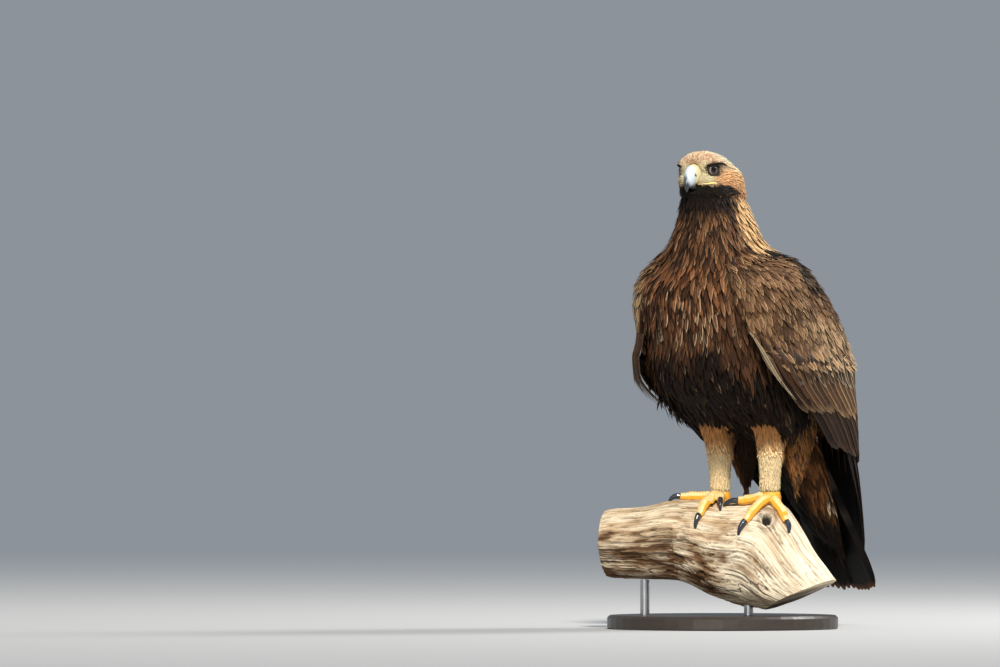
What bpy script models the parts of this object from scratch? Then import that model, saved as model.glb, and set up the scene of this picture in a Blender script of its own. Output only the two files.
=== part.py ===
"""A life-size perched golden eagle on a cut length of dead branch, held by a plain display stand.

Lengths are metres, +Z is up, and the origin is the middle of the stand's underside.
The bird looks along -Y, so its left side is +X. Tables of sections are written in millimetres
in the bird's own frame, whose zero is midway between the feet, on top of the branch.
"""

import math
import random

import bmesh
import bpy
from mathutils import Vector
from mathutils.bvhtree import BVHTree

MM = 0.001
GAP = 0.0003
CUT_GAP = 0.0004

BASE_RADIUS = 0.185
BASE_THICKNESS = 0.022
ROD_RADIUS = 0.0075
FEET = Vector((0.045, 0.0, BASE_THICKNESS + 0.185))

# Whole outline of body and folded wings: height, centre along Y, half width, half depth, squareness
ENVELOPE = (
    (505, -86, 45, 62, 2.1),
    (472, -83, 50, 65, 2.1),
    (442, -76, 61, 71, 2.1),
    (405, -73, 80, 84, 2.2),
    (392, -60, 101, 97, 2.3),
    (381, -54, 119, 107, 2.3),
    (362, -52, 139, 120, 2.5),
    (344, -49, 147, 130, 2.6),
    (320, -40, 151, 139, 2.8),
    (282, -21, 153, 149, 3.0),
    (254, -9, 152, 155, 3.0),
    (221, -2, 150, 158, 3.1),
    (189, 10, 146, 152, 3.1),
    (150, 45, 140, 124, 3.0),
    (112, 74, 133, 101, 3.0),
    (80, 98, 124, 84, 3.0),
    (29, 142, 104, 64, 3.0),
    (-40, 198, 77, 50, 2.8),
    (-85, 230, 62, 44, 2.6),
    (-133, 262, 50, 38, 2.5),
)

# The trunk under the wings: height, centre along Y, half width, depth ahead, depth behind, squareness
TRUNK = (
    (398, -66, 90, 90, 90, 2.2),
    (381, -56, 106, 104, 99, 2.3),
    (362, -52, 117, 118, 111, 2.5),
    (344, -49, 122, 130, 121, 2.6),
    (320, -40, 126, 139, 130, 2.7),
    (282, -21, 128, 149, 139, 2.8),
    (254, -9, 127, 155, 144, 2.8),
    (221, -4, 125, 157, 144, 2.8),
    (189, 4, 121, 152, 138, 2.7),
    (168, 14, 114, 138, 128, 2.6),
    (146, 30, 103, 112, 114, 2.5),
    (122, 50, 84, 84, 90, 2.4),
    (100, 68, 58, 54, 60, 2.2),
)
# Loose feathers over each flank: height, spread up and down, direction, spread round the body, reach
FLANK = (128, 28, 52, 24, 35)
NECK_BOTTOM = 398
NECK_TOP = 484

# Head along its own forward axis from between the eyes: forward, half width, height above, depth below
HEAD = (
    (-90, 10, 0, 16),
    (-82, 25, 11, 32),
    (-66, 35.5, 21.5, 44),
    (-46, 40, 28, 48),
    (-24, 41, 31, 47),
    (-6, 39.5, 31, 45),
    (6, 36, 28.5, 42),
    (13, 30, 24.5, 38),
    (17.5, 23, 18, 32),
    (20, 15, 11, 25),
)
# Back of the head over the neck: height, centre along Y, half width, half depth
NAPE = ((510, -87, 45, 60), (520, -86, 42, 55), (530, -85, 34, 47), (538, -84, 22, 34))
EYES_MIDDLE = Vector((-2, -120.6, 526.5)) * MM
HEAD_TURN = math.radians(11)
EYE_RADIUS = 0.0106
EYE_SIDE = 0.0225
EYE_FORWARD = 0.0015
EYE_AXIS = math.radians(58)
SOCKET_AT = (46, 11, -1)
SOCKET_RADIUS = 0.019

# Beak: forward, height, half width, half height, lean of the section in degrees
UPPER_BEAK = (
    (25.3, -8.3, 11.2, 15.2, 5),
    (30.5, -10.0, 9.8, 13.4, 18),
    (34.5, -14.0, 7.8, 10.2, 40),
    (37.5, -20.5, 5.8, 7.2, 66),
    (40.2, -27.5, 3.6, 4.8, 86),
    (40.5, -35.5, 1.0, 1.2, 102),
)
CERE = (
    (6, -7.8, 13.2, 15.4, 0),
    (14, -7.6, 13.4, 17.0, 0),
    (20, -7.8, 12.6, 16.9, 0),
    (25, -8.2, 11.6, 15.8, 4),
)
LOWER_BEAK = (
    (4, -28.4, 11.6, 4.0, 0),
    (14, -28.6, 10.4, 4.4, 0),
    (24, -28.8, 8.2, 4.2, 0),
    (31, -28.2, 5.6, 3.4, 2),
    (35.2, -27.4, 2.4, 1.8, 4),
)
NOSTRIL_AT = (10.8, 21, -6)

# Branch, as rings across it: top and bottom, each as distance along and height, and half depth
PERCH = (
    (-232, -18, -230, -122, 50),
    (-214, -14, -212, -126, 54),
    (-166, -11, -164, -128, 57),
    (-120, -1, -114, -131, 64),
    (-76, -1, -84, -139, 67),
    (-32, -3, -60, -152, 68),
    (10, -2, -40, -160, 68),
    (44, 0, -22, -165, 68),
    (68, -12, -8, -168, 67),
    (92, -46, 3, -170, 66),
    (114, -82, 12, -171, 64),
    (134, -107, 24, -173, 62),
    (150, -127, 38, -175, 59),
)
PERCH_TURN = math.radians(20)
PERCH_SIDES = 24

FOOT_SIDE = 0.050
TOE_RADIUS = 0.0082

# Thigh, trouser feathers behind it, and shank: height, distance out, centre along Y, half width, half depth
THIGH = (
    (208, 62, -8, 46, 62),
    (176, 60, -2, 45, 62),
    (146, 57, 4, 39, 52),
    (118, 54, 4, 32, 40),
    (92, 52, 2, 25, 29),
    (72, 51, 1, 21, 23),
)
TROUSER = (
    (170, 58, 54, 34, 50),
    (130, 56, 60, 32, 47),
    (96, 54, 64, 27, 39),
    (66, 52, 66, 21, 29),
    (40, 51, 67, 14, 19),
    (20, 50, 68, 7, 9),
    (8, 50, 68, 2, 3),
)
SHANK = (
    (71.7, 51, 1, 21, 23),
    (54, 50.5, 0, 19, 20),
    (36, 50, 0, 17.5, 19),
    (20, 50, 0, 17.5, 19),
    (14, 50, 0, 16.5, 18),
)
# Toes of each foot: name, direction outward from straight ahead, length over the branch, claw length
TOES = {
    "right": (
        ("outer", 54, 0.064, 0.029),
        ("middle", -12, 0.080, 0.034),
        ("inner", -38, 0.038, 0.040),
        ("hind", 176, 0.040, 0.040),
    ),
    "left": (
        ("outer", 84, 0.048, 0.031),
        ("middle", 2, 0.062, 0.037),
        ("inner", -55, 0.051, 0.046),
        ("hind", 198, 0.038, 0.038),
    ),
}

# Front edge of the folded wing: height, direction round the body
WING_FRONT = (
    (398, 34),
    (360, 38),
    (320, 42),
    (259, 44),
    (200, 62),
    (152, 84),
    (80, 100),
    (-20, 112),
    (-120, 124),
)

# Tiers of wing feathers from the lowest: count, root height, tip height at the front and at the back,
# root and tip direction round the body at the front, and at the back, half width, rise over the outline
TIERS = {
    "primary": (6, 96, (-44, -122), (100, 113), (160, 158), 12.0, -7.0),
    "secondary": (10, 205, (84, 36), (66, 84), (164, 167), 15.0, 1.2),
    "greater_covert": (10, 262, (160, 140), (52, 64), (166, 168), 15.5, 3.6),
    "median_covert": (9, 312, (236, 218), (45, 51), (162, 164), 16.5, 5.6),
    "lesser_covert": (8, 356, (292, 282), (42, 45), (158, 160), 17.5, 7.4),
}
PRIMARY_STACK = 1.4
VANE_THICK = 0.0010
SHINGLE = 0.0022

TAIL_ROOT = Vector((0, 112, 136)) * MM
TAIL_TIP = Vector((0, 297, -148)) * MM
TAIL_FEATHERS = 12
TAIL_TIP_HALF = 0.038
TAIL_ROOT_HALF = 0.020
TAIL_VANE_HALF = 0.0150

COLOURS = {
    "brown": (0.085, 0.042, 0.020),
    "gold": (0.42, 0.24, 0.10),
    "dark": (0.030, 0.018, 0.012),
    "cream": (0.50, 0.33, 0.17),
    "yellow": (0.80, 0.52, 0.08),
    "horn": (0.10, 0.11, 0.13),
    "eye": (0.28, 0.14, 0.05),
    "wood": (0.52, 0.40, 0.28),
    "base": (0.055, 0.045, 0.040),
    "steel": (0.55, 0.55, 0.56),
}


def clear_scene():
    for obj in list(bpy.data.objects):
        bpy.data.objects.remove(obj, do_unlink=True)


def material(name, roughness=0.75, metallic=0.0):
    made = bpy.data.materials.get(name)
    if made is None:
        made = bpy.data.materials.new(name)
        made.use_nodes = True
        shader = made.node_tree.nodes["Principled BSDF"]
        shader.inputs["Base Color"].default_value = (*COLOURS[name], 1.0)
        shader.inputs["Roughness"].default_value = roughness
        shader.inputs["Metallic"].default_value = metallic
    return made


def add_object(name, mesh, collection, colour=None):
    obj = bpy.data.objects.new(name, mesh)
    collection.objects.link(obj)
    if colour:
        mesh.materials.clear()
        mesh.materials.append(material(colour))
    return obj


def table_at(table, key):
    """A row of a table at any key between its first and last, on a smooth curve through its rows."""
    rising = table[-1][0] > table[0][0]
    rows = table if rising else table[::-1]
    keys = [row[0] for row in rows]
    key = min(max(key, keys[0]), keys[-1])
    i = max(k for k in range(len(keys) - 1) if keys[k] <= key or k == 0)
    span = keys[i + 1] - keys[i]
    t = (key - keys[i]) / span

    def slope(k, column):
        low, high = max(k - 1, 0), min(k + 1, len(rows) - 1)
        return (rows[high][column] - rows[low][column]) / (keys[high] - keys[low])

    values = []
    for column in range(1, len(rows[0])):
        start, end = rows[i][column], rows[i + 1][column]
        values.append(
            (2 * t**3 - 3 * t**2 + 1) * start
            + (t**3 - 2 * t**2 + t) * span * slope(i, column)
            + (3 * t**2 - 2 * t**3) * end
            + (t**3 - t**2) * span * slope(i + 1, column)
        )
    return values


def loft(rings, alike=False):
    """A closed mesh through rings with the same number of points, with both ends capped.

    alike splits the second half of each ring as the first half is split, for a thin blade's two faces.
    """
    shape = bmesh.new()
    rows = [[shape.verts.new(point) for point in ring] for ring in rings]
    count = len(rows[0])
    for low, high in zip(rows, rows[1:]):
        for i in range(count):
            j = (i + 1) % count
            if alike and i >= count // 2:
                shape.faces.new((low[i], low[j], high[i]))
                shape.faces.new((low[j], high[j], high[i]))
            else:
                shape.faces.new((low[i], low[j], high[j]))
                shape.faces.new((low[i], high[j], high[i]))
    shape.faces.new(rows[0][::-1])
    shape.faces.new(rows[-1])
    bmesh.ops.recalc_face_normals(shape, faces=shape.faces)
    if shape.calc_volume(signed=True) < 0:
        bmesh.ops.reverse_faces(shape, faces=shape.faces)
    mesh = bpy.data.meshes.new("loft")
    shape.to_mesh(mesh)
    shape.free()
    return mesh


def move(points, side=1):
    """Points of the bird's frame in the part's frame, on its left, or mirrored to its right."""
    return [Vector((p[0] * side, p[1], p[2])) + FEET for p in points]


def join(obj, pieces, operation="UNION"):
    """One Boolean of obj with every object in the collection, applied; the pieces are then removed."""
    modifier = obj.modifiers.new("join", "BOOLEAN")
    modifier.operation = operation
    modifier.operand_type = "COLLECTION"
    modifier.collection = pieces
    modifier.solver = "MANIFOLD"
    bpy.context.view_layer.update()
    evaluated = obj.evaluated_get(bpy.context.evaluated_depsgraph_get())
    mesh = bpy.data.meshes.new_from_object(evaluated)
    obj.modifiers.clear()
    obj.data = mesh
    for piece in list(pieces.objects):
        bpy.data.objects.remove(piece, do_unlink=True)
    keep_largest(obj)


def keep_largest(obj):
    """Leaves only the largest closed surface of a mesh."""
    shape = bmesh.new()
    shape.from_mesh(obj.data)
    left = set(shape.verts)
    groups = []
    while left:
        edge_of_search = [left.pop()]
        group = set(edge_of_search)
        while edge_of_search:
            vert = edge_of_search.pop()
            for edge in vert.link_edges:
                other = edge.other_vert(vert)
                if other in left:
                    left.discard(other)
                    group.add(other)
                    edge_of_search.append(other)
        groups.append(group)
    groups.sort(key=len, reverse=True)
    for group in groups[1:]:
        bmesh.ops.delete(shape, geom=list(group), context="VERTS")
    shape.to_mesh(obj.data)
    shape.free()


def outline_point(section, direction, lift=0.0):
    """A point of a horizontal section. Direction 0 is straight ahead and 90 the bird's left, in degrees."""
    centre, half_width, ahead, behind, square = section
    angle = math.radians(direction)
    across, along = math.sin(angle), math.cos(angle)
    depth = ahead if along > 0 else behind
    reach = (abs(across / half_width) ** square + abs(along / depth) ** square) ** (-1 / square)
    reach += lift
    return across * reach, centre - along * reach


def envelope_section(height):
    centre, half_width, half_depth, square = table_at(ENVELOPE, height)
    return centre, half_width, half_depth, half_depth, square


def envelope_point(direction, height, lift=0.0):
    """A point on the outline of body and wings in metres. Height and lift are millimetres."""
    x, y = outline_point(envelope_section(height), direction, lift)
    return Vector((x, y, height)) * MM


def envelope_normal(direction, height):
    step = 2.0
    across = envelope_point(direction + step, height) - envelope_point(direction - step, height)
    up = envelope_point(direction, height + step) - envelope_point(direction, height - step)
    return across.cross(up).normalized()


def flank_lift(direction, height):
    """How far the loose flank feathers stand out from the trunk, in millimetres."""
    middle, tall, turn, wide, reach = FLANK
    away = abs(abs((direction + 180) % 360 - 180) - turn)
    return reach * math.exp(-(((height - middle) / tall) ** 2) - (away / wide) ** 2)


def trunk_ring(height, lift=0.0, count=30):
    section = table_at(TRUNK, height)
    ring = []
    for i in range(count):
        direction = 360 * i / count
        x, y = outline_point(section, direction, lift + flank_lift(direction, height))
        ring.append(Vector((x, y, height)) * MM)
    return ring


def trunk_mesh(lift=0.0):
    """The trunk from belly to shoulders. A lift swells it, for a cutter that leaves a gap."""
    heights = [row[0] for row in TRUNK]
    heights[0] += lift
    heights[-1] -= lift
    rings = [trunk_ring(height, lift) for height in heights]
    belly = table_at(TRUNK, TRUNK[-1][0])
    tuck = (belly[0] + 8, belly[1] * 0.55, belly[2] * 0.5, belly[3] * 0.6, belly[4])
    low = TRUNK[-1][0] - 12 - lift
    rings.append([Vector((*outline_point(tuck, 12 * i, lift), low)) * MM for i in range(30)])
    return loft([move(ring) for ring in rings])


def oval_ring(centre, side, up, half_side, half_up, count, square=2.2):
    """An oval round centre in the plane of the unit vectors side and up."""
    ring = []
    for i in range(count):
        angle = 2 * math.pi * i / count
        c, s = math.cos(angle), math.sin(angle)
        reach = (abs(c) ** square + abs(s) ** square) ** (-1 / square)
        ring.append(centre + side * (c * reach * half_side) + up * (s * reach * half_up))
    return ring


def head_frame():
    """Forward and side directions of the turned head."""
    forward = Vector((math.sin(HEAD_TURN), -math.cos(HEAD_TURN), 0))
    side = Vector((math.cos(HEAD_TURN), math.sin(HEAD_TURN), 0))
    return forward, side


def head_point(side_mm, forward_mm, up_mm):
    forward, side = head_frame()
    return EYES_MIDDLE + (side * side_mm + forward * forward_mm + Vector((0, 0, up_mm))) * MM


def skull_mesh():
    forward, side = head_frame()
    rings = []
    for along, half_width, above, below in HEAD:
        centre = head_point(0, along, (above - below) / 2)
        ring = oval_ring(centre, side, Vector((0, 0, 1)), half_width * MM, (above + below) / 2 * MM, 18)
        rings.append(move(ring))
    return loft(rings)


def brow_mesh(side):
    """The bony ridge over an eye, which gives the eagle its stern look."""
    path = ((20, 21, 7.0), (16, 30, 9.0), (9, 36, 10.5), (-2, 39.5, 11.0), (-14, 41, 9.5), (-24, 41, 6.5))
    sizes = ((3, 2.0), (5.5, 3.4), (7.0, 4.2), (7.0, 4.2), (5, 3.2), (3, 2.0))
    rings = []
    for (along, out, up), (half_out, half_up) in zip(path, sizes):
        centre = head_point(side * (out - half_out), along, up)
        _, across = head_frame()
        ring = oval_ring(centre, across, Vector((0, 0, 1)), half_out * MM, half_up * MM, 8)
        rings.append(move(ring))
    return loft(rings)


def beak_mesh(table, lift=0.0, count=14):
    _, side = head_frame()
    forward, _ = head_frame()
    rings = []
    for row, (along, up, half_width, half_height, lean) in enumerate(table):
        if row == 0:
            along -= lift
        if row == len(table) - 1:
            along += lift
        lean = math.radians(lean)
        upward = Vector((0, 0, math.cos(lean))) + forward * math.sin(lean)
        centre = head_point(0, along, up)
        half_width, half_height = (half_width + lift) * MM, (half_height + lift) * MM
        rings.append(move(oval_ring(centre, side, upward, half_width, half_height, count, 2.0)))
    return loft(rings)


def eye_centre(side):
    return head_point(side * EYE_SIDE / MM, EYE_FORWARD / MM, 0)


def eye_axis(side):
    forward, across = head_frame()
    return forward * math.cos(EYE_AXIS) + across * (side * math.sin(EYE_AXIS))


def ball(centre, radius, collection, name="ball", segments=16, rings=10):
    shape = bmesh.new()
    bmesh.ops.create_uvsphere(shape, u_segments=segments, v_segments=rings, radius=radius)
    mesh = bpy.data.meshes.new(name)
    shape.to_mesh(mesh)
    shape.free()
    obj = add_object(name, mesh, collection)
    obj.location = centre
    bpy.context.view_layer.update()
    mesh.transform(obj.matrix_world)
    obj.location = (0, 0, 0)
    return obj


def lid_mesh(side):
    """The rim of skin round an eye, as a ring that stands a little proud of the face."""
    axis = eye_axis(side)
    up = Vector((0, 0, 1))
    across = up.cross(axis).normalized()
    upright = axis.cross(across)
    centre = eye_centre(side) + FEET + axis * (EYE_RADIUS * 0.50)
    shape = bmesh.new()
    around, section = 14, 5
    rows = []
    for i in range(around):
        angle = 2 * math.pi * i / around
        out = across * math.cos(angle) + upright * (math.sin(angle) * 0.88)
        middle = centre + out * (EYE_RADIUS * 0.98)
        row = []
        for j in range(section):
            turn = 2 * math.pi * j / section
            offset = out * math.cos(turn) * 0.0023 + axis * math.sin(turn) * 0.0034
            row.append(shape.verts.new(middle + offset))
        rows.append(row)
    for i in range(around):
        for j in range(section):
            k, m = (i + 1) % around, (j + 1) % section
            shape.faces.new((rows[i][j], rows[k][j], rows[k][m], rows[i][m]))
    bmesh.ops.recalc_face_normals(shape, faces=shape.faces)
    mesh = bpy.data.meshes.new("lid")
    shape.to_mesh(mesh)
    shape.free()
    return mesh


def neck_ring(height, count=28):
    points = [outline_point(envelope_section(height), 360 * i / count) for i in range(count)]
    return move([Vector((x, y, height)) * MM for x, y in points])


def vane_mesh(path, normals, half_widths, shingle):
    """One feather: a thin blade along path, with one edge higher than the other."""
    rings = []
    for i, point in enumerate(path):
        ahead = path[min(i + 1, len(path) - 1)] - path[max(i - 1, 0)]
        across = ahead.cross(normals[i]).normalized()
        normal = across.cross(ahead).normalized()
        share = half_widths[i] / max(half_widths)
        thick = normal * (VANE_THICK / 2 * (0.45 + 0.55 * share))
        slope = across * (half_widths[i] * MM) + normal * (shingle / 2 * share)
        high, low = point + thick, point - thick
        rings.append([high - slope, high + slope, low + slope, low - slope])
    return loft([move(ring) for ring in rings], alike=True)


def mirrored(mesh):
    """The same mesh on the bird's right side."""
    copy = mesh.copy()
    shape = bmesh.new()
    shape.from_mesh(copy)
    for vert in shape.verts:
        vert.co.x = 2 * FEET.x - vert.co.x
    bmesh.ops.reverse_faces(shape, faces=shape.faces)
    shape.to_mesh(copy)
    shape.free()
    return copy


def wing_shell():
    """The folded arm: a thick shell over the side of the trunk from shoulder to flank."""
    heights = (388, 380, 366, 344, 314, 282, 250, 218, 186, 150, 120, 98)
    rings = []
    for height in heights:
        front = wing_front(height)
        back = 175
        count = 9
        section = envelope_section(height)
        inset = 0.62 if height > 190 else 0.84
        outer, inner = [], []
        for i in range(count):
            direction = front + (back - front) * i / (count - 1)
            edge = math.sin(math.pi * i / (count - 1))
            low = min(1.0, (height - 90) / 90)
            outer.append(Vector((*outline_point(section, direction, -4.5 * (1 - edge) - 1.0), height)) * MM)
            x, y = outline_point(section, direction, -8 - 26 * max(low, 0.0) * (1 if inset < 0.7 else 0.3))
            inner.append(Vector((x, y, height)) * MM)
        rings.append(move(outer + inner[::-1]))
    return loft(rings)


def wing_front(height):
    """Direction of the folded wing's front edge at a height."""
    return table_at(WING_FRONT, height)[0]


def tier_feathers(name, rng):
    """The feathers of one tier, from the wing's front edge to its back."""
    count, root, tips, front, back, half_width, rise = TIERS[name]
    stack = PRIMARY_STACK if name == "primary" else 0.0
    meshes = []
    for i in range(count):
        share = i / (count - 1)
        root_direction = front[0] + (back[0] - front[0]) * share
        tip_direction = front[1] + (back[1] - front[1]) * share
        if name == "primary":
            tip_height = tips[0] + (tips[1] - tips[0]) * min(1.0, share * 1.15)
        else:
            tip_height = tips[0] + (tips[1] - tips[0]) * share
        tip_height += rng.uniform(-4, 4)
        steps = 4 if root - tip_height > 110 else 3
        path, normals, widths = [], [], []
        for k in range(steps + 1):
            along = k / steps
            height = root + (tip_height - root) * along
            direction = root_direction + (tip_direction - root_direction) * along
            out = min(1.0, along * 3.2)
            path.append(envelope_point(direction, height, (rise + stack * i) * out - 5.0 * (1 - out)))
            normals.append(envelope_normal(direction, height))
            taper = 1.0 if along < 0.72 else math.sqrt(max(0.0, 1 - ((along - 0.72) / 0.28) ** 2))
            widths.append(half_width * max(0.12, (0.82 + 0.18 * along) * taper))
        meshes.append(vane_mesh(path, normals, widths, SHINGLE))
    return meshes


def make_wing(side, collection, pieces):
    rng = random.Random(11)
    shell = wing_shell()
    vanes = [mesh for name in TIERS for mesh in tier_feathers(name, rng)]
    if side < 0:
        shell = mirrored(shell)
        vanes = [mirrored(mesh) for mesh in vanes]
    name = "wing_left" if side > 0 else "wing_right"
    wing = add_object(name, shell, collection, "brown")
    add_object("trunk_cutter", trunk_mesh(lift=CUT_GAP / MM), pieces)
    join(wing, pieces, "DIFFERENCE")
    for mesh in vanes:
        add_object("vane", mesh, pieces)
    join(wing, pieces)
    return wing


def make_tail(collection, pieces):
    """Twelve flight feathers in a nearly closed fan over the undertail coverts."""
    down = (TAIL_TIP - TAIL_ROOT).normalized()
    side = Vector((1, 0, 0))
    back = side.cross(down).normalized()
    if back.y < 0:
        back = -back
    lobe = []
    for share, half_width, half_depth, shift in (
        (-0.06, 38, 24, -10),
        (0.10, 42, 27, -17),
        (0.26, 44, 26, -21),
        (0.42, 42, 22, -21),
        (0.56, 34, 16, -17),
        (0.68, 21, 9, -11),
        (0.76, 8, 4, -7),
    ):
        centre = TAIL_ROOT + (TAIL_TIP - TAIL_ROOT) * share + back * (shift * MM)
        lobe.append(move(oval_ring(centre, side, back, half_width * MM, half_depth * MM, 16)))
    tail = add_object("tail", loft(lobe), collection, "dark")
    middle = (TAIL_FEATHERS - 1) / 2
    for i in range(TAIL_FEATHERS):
        place = (i - middle) / middle
        root = TAIL_ROOT + side * (place * TAIL_ROOT_HALF) + back * (0.006 - abs(place) * 0.006)
        tip_drop = down * (-0.010 * place * place)
        tip = TAIL_TIP + side * (place * TAIL_TIP_HALF) + back * (0.004 - abs(place) * 0.012) + tip_drop
        path, normals, widths = [], [], []
        for along in (0.0, 0.45, 0.88, 1.0):
            path.append(root.lerp(tip, along))
            normals.append((back + side * (0.10 * place)).normalized())
            taper = 1.0 if along < 0.85 else 0.55
            widths.append(TAIL_VANE_HALF / MM * (0.6 + 0.4 * min(1, along * 1.6)) * taper)
        shingle = -0.0016 if place < 0 else 0.0016
        add_object("vane", vane_mesh(path, normals, widths, -shingle), pieces)
    join(tail, pieces)
    add_object("trunk_cutter", trunk_mesh(lift=CUT_GAP / MM), pieces)
    join(tail, pieces, "DIFFERENCE")


def make_trunk(collection):
    add_object("torso", trunk_mesh(), collection, "brown")


def make_neck(collection):
    heights = [NECK_BOTTOM + GAP / MM, 405, 418, 432, 446, 460, 472, NECK_TOP]
    add_object("neck", loft([neck_ring(height) for height in heights]), collection, "gold")


def make_head(collection, pieces):
    head = add_object("head", skull_mesh(), collection, "gold")
    for side in (1, -1):
        socket = head_point(side * SOCKET_AT[0], SOCKET_AT[1], SOCKET_AT[2])
        ball(socket + FEET, SOCKET_RADIUS, pieces, segments=14, rings=10)
    join(head, pieces, "DIFFERENCE")
    nape = [neck_ring(height, 20) for height in (NECK_TOP + GAP / MM, 492, 500)]
    for height, centre, half_width, half_depth in NAPE:
        middle = Vector((0, centre, height)) * MM
        ring = oval_ring(middle, Vector((1, 0, 0)), Vector((0, 1, 0)), half_width * MM, half_depth * MM, 20)
        nape.append(move(ring[15:] + ring[:15]))
    add_object("nape", loft(nape), pieces)
    for side in (1, -1):
        add_object("brow", brow_mesh(side), pieces)
        add_object("lid", lid_mesh(side), pieces)
    join(head, pieces)
    for side in (1, -1):
        ball(eye_centre(side) + FEET, EYE_RADIUS + CUT_GAP, pieces)
    add_object("cere_cutter", beak_mesh(CERE, CUT_GAP / MM), pieces)
    add_object("upper_cutter", beak_mesh(UPPER_BEAK, CUT_GAP / MM), pieces)
    add_object("lower_cutter", beak_mesh(LOWER_BEAK, CUT_GAP / MM), pieces)
    add_object("neck_cutter", slab_mesh(NECK_TOP * MM + GAP), pieces)
    join(head, pieces, "DIFFERENCE")


def slab_mesh(top):
    """A wide block below a height of the bird's frame, to cut the head off level over the neck."""
    size = 0.4
    mesh = bpy.data.meshes.new("slab")
    shape = bmesh.new()
    bmesh.ops.create_cube(shape, size=size)
    centre = FEET + Vector((EYES_MIDDLE.x, EYES_MIDDLE.y, top - size / 2))
    bmesh.ops.translate(shape, verts=shape.verts, vec=centre)
    shape.to_mesh(mesh)
    shape.free()
    return mesh


def make_face(collection, pieces):
    for side, name in ((1, "eye_left"), (-1, "eye_right")):
        eye = ball(eye_centre(side) + FEET, EYE_RADIUS, collection, name)
        eye.data.materials.append(material("eye", 0.15))
        eye.data.shade_smooth()
    add_object("upper_beak", beak_mesh(UPPER_BEAK), collection, "horn")
    cere = add_object("cere", beak_mesh(CERE), collection, "yellow")
    for side in (1, -1):
        at = head_point(NOSTRIL_AT[0] * side, NOSTRIL_AT[1], NOSTRIL_AT[2])
        ball(at + FEET, 0.0022, pieces, segments=8, rings=6)
    join(cere, pieces, "DIFFERENCE")
    lower = add_object("lower_beak", beak_mesh(LOWER_BEAK), collection, "horn")
    add_object("cere_cutter", beak_mesh(CERE, CUT_GAP / MM), pieces)
    add_object("upper_cutter", beak_mesh(UPPER_BEAK, CUT_GAP / MM), pieces)
    join(lower, pieces, "DIFFERENCE")


def perch_directions():
    along = Vector((math.cos(PERCH_TURN), math.sin(PERCH_TURN), 0))
    ahead = Vector((math.sin(PERCH_TURN), -math.cos(PERCH_TURN), 0))
    return along, ahead


def perch_ring(row, lift=0.0):
    """One ring of the bark, with low ridges that run along the branch."""
    top_at, top_height, low_at, low_height, half_depth = row
    along, ahead = perch_directions()
    top = along * (top_at * MM) + Vector((0, 0, top_height * MM))
    low = along * (low_at * MM) + Vector((0, 0, low_height * MM))
    centre, up = (top + low) / 2, (top - low) / 2
    ring = []
    for i in range(PERCH_SIDES):
        turn = 2 * math.pi * i / PERCH_SIDES
        ridge = 0.030 * math.sin(5 * turn + top_at * 0.012) + 0.022 * math.sin(9 * turn - top_at * 0.03)
        swell = 1 + ridge * (0.25 if math.cos(turn) > 0.2 else 1.0)
        reach = up * (math.cos(turn) * swell) + ahead * (math.sin(turn) * swell * half_depth * MM)
        ring.append(centre + reach * (1 + lift / reach.length))
    return ring


def perch_rings(lift=0.0):
    rings = [perch_ring(row, lift) for row in PERCH]
    if lift:
        for end, inner in ((0, 1), (-1, -2)):
            centre = sum(rings[end], Vector()) / PERCH_SIDES
            outward = (centre - sum(rings[inner], Vector()) / PERCH_SIDES).normalized()
            rings[end] = [point + outward * lift for point in rings[end]]
    return rings


def perch_mesh(lift=0.0):
    return loft([move(ring) for ring in perch_rings(lift)])


def perch_tree():
    """The bark as a tree that finds its nearest point, in the bird's frame."""
    rings = perch_rings()
    points = [point for ring in rings for point in ring]
    faces = []
    for row in range(len(rings) - 1):
        for i in range(PERCH_SIDES):
            a, b = row * PERCH_SIDES + i, row * PERCH_SIDES + (i + 1) % PERCH_SIDES
            faces.append((a, b, b + PERCH_SIDES, a + PERCH_SIDES))
    return BVHTree.FromPolygons(points, faces)


def outward_normal(tree, point):
    near, normal, _, _ = tree.find_nearest(point)
    centre = Vector((near.x, near.y, -0.08))
    return near, normal if normal.dot(near - centre) > 0 else -normal


def toe_route(side, outward, length):
    """Points that walk along a toe over the branch, with the bark's outward direction at each."""
    tree = perch_tree()
    angle = math.radians(outward)
    heading = Vector((math.sin(angle) * side, -math.cos(angle), 0))
    point, normal = outward_normal(tree, Vector((FOOT_SIDE * side, 0, 0.0)))
    steps = 7
    route = [(point, normal)]
    for _ in range(steps):
        heading = (heading - normal * heading.dot(normal)).normalized()
        point, bark = outward_normal(tree, point + heading * (length / steps))
        normal = (normal + bark).normalized()
        route.append((point, normal))
    return route


def tube(points, radii, normal, count=10, flat=1.0):
    """A round piece along points, with its own radius at each."""
    rings = []
    for i, point in enumerate(points):
        tangent = (points[min(i + 1, len(points) - 1)] - points[max(i - 1, 0)]).normalized()
        side = tangent.cross(normal[i]).normalized()
        up = side.cross(tangent).normalized()
        rings.append(oval_ring(point, side, up, radii[i], radii[i] * flat, count, 2.0))
    return loft([move(ring) for ring in rings])


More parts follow.
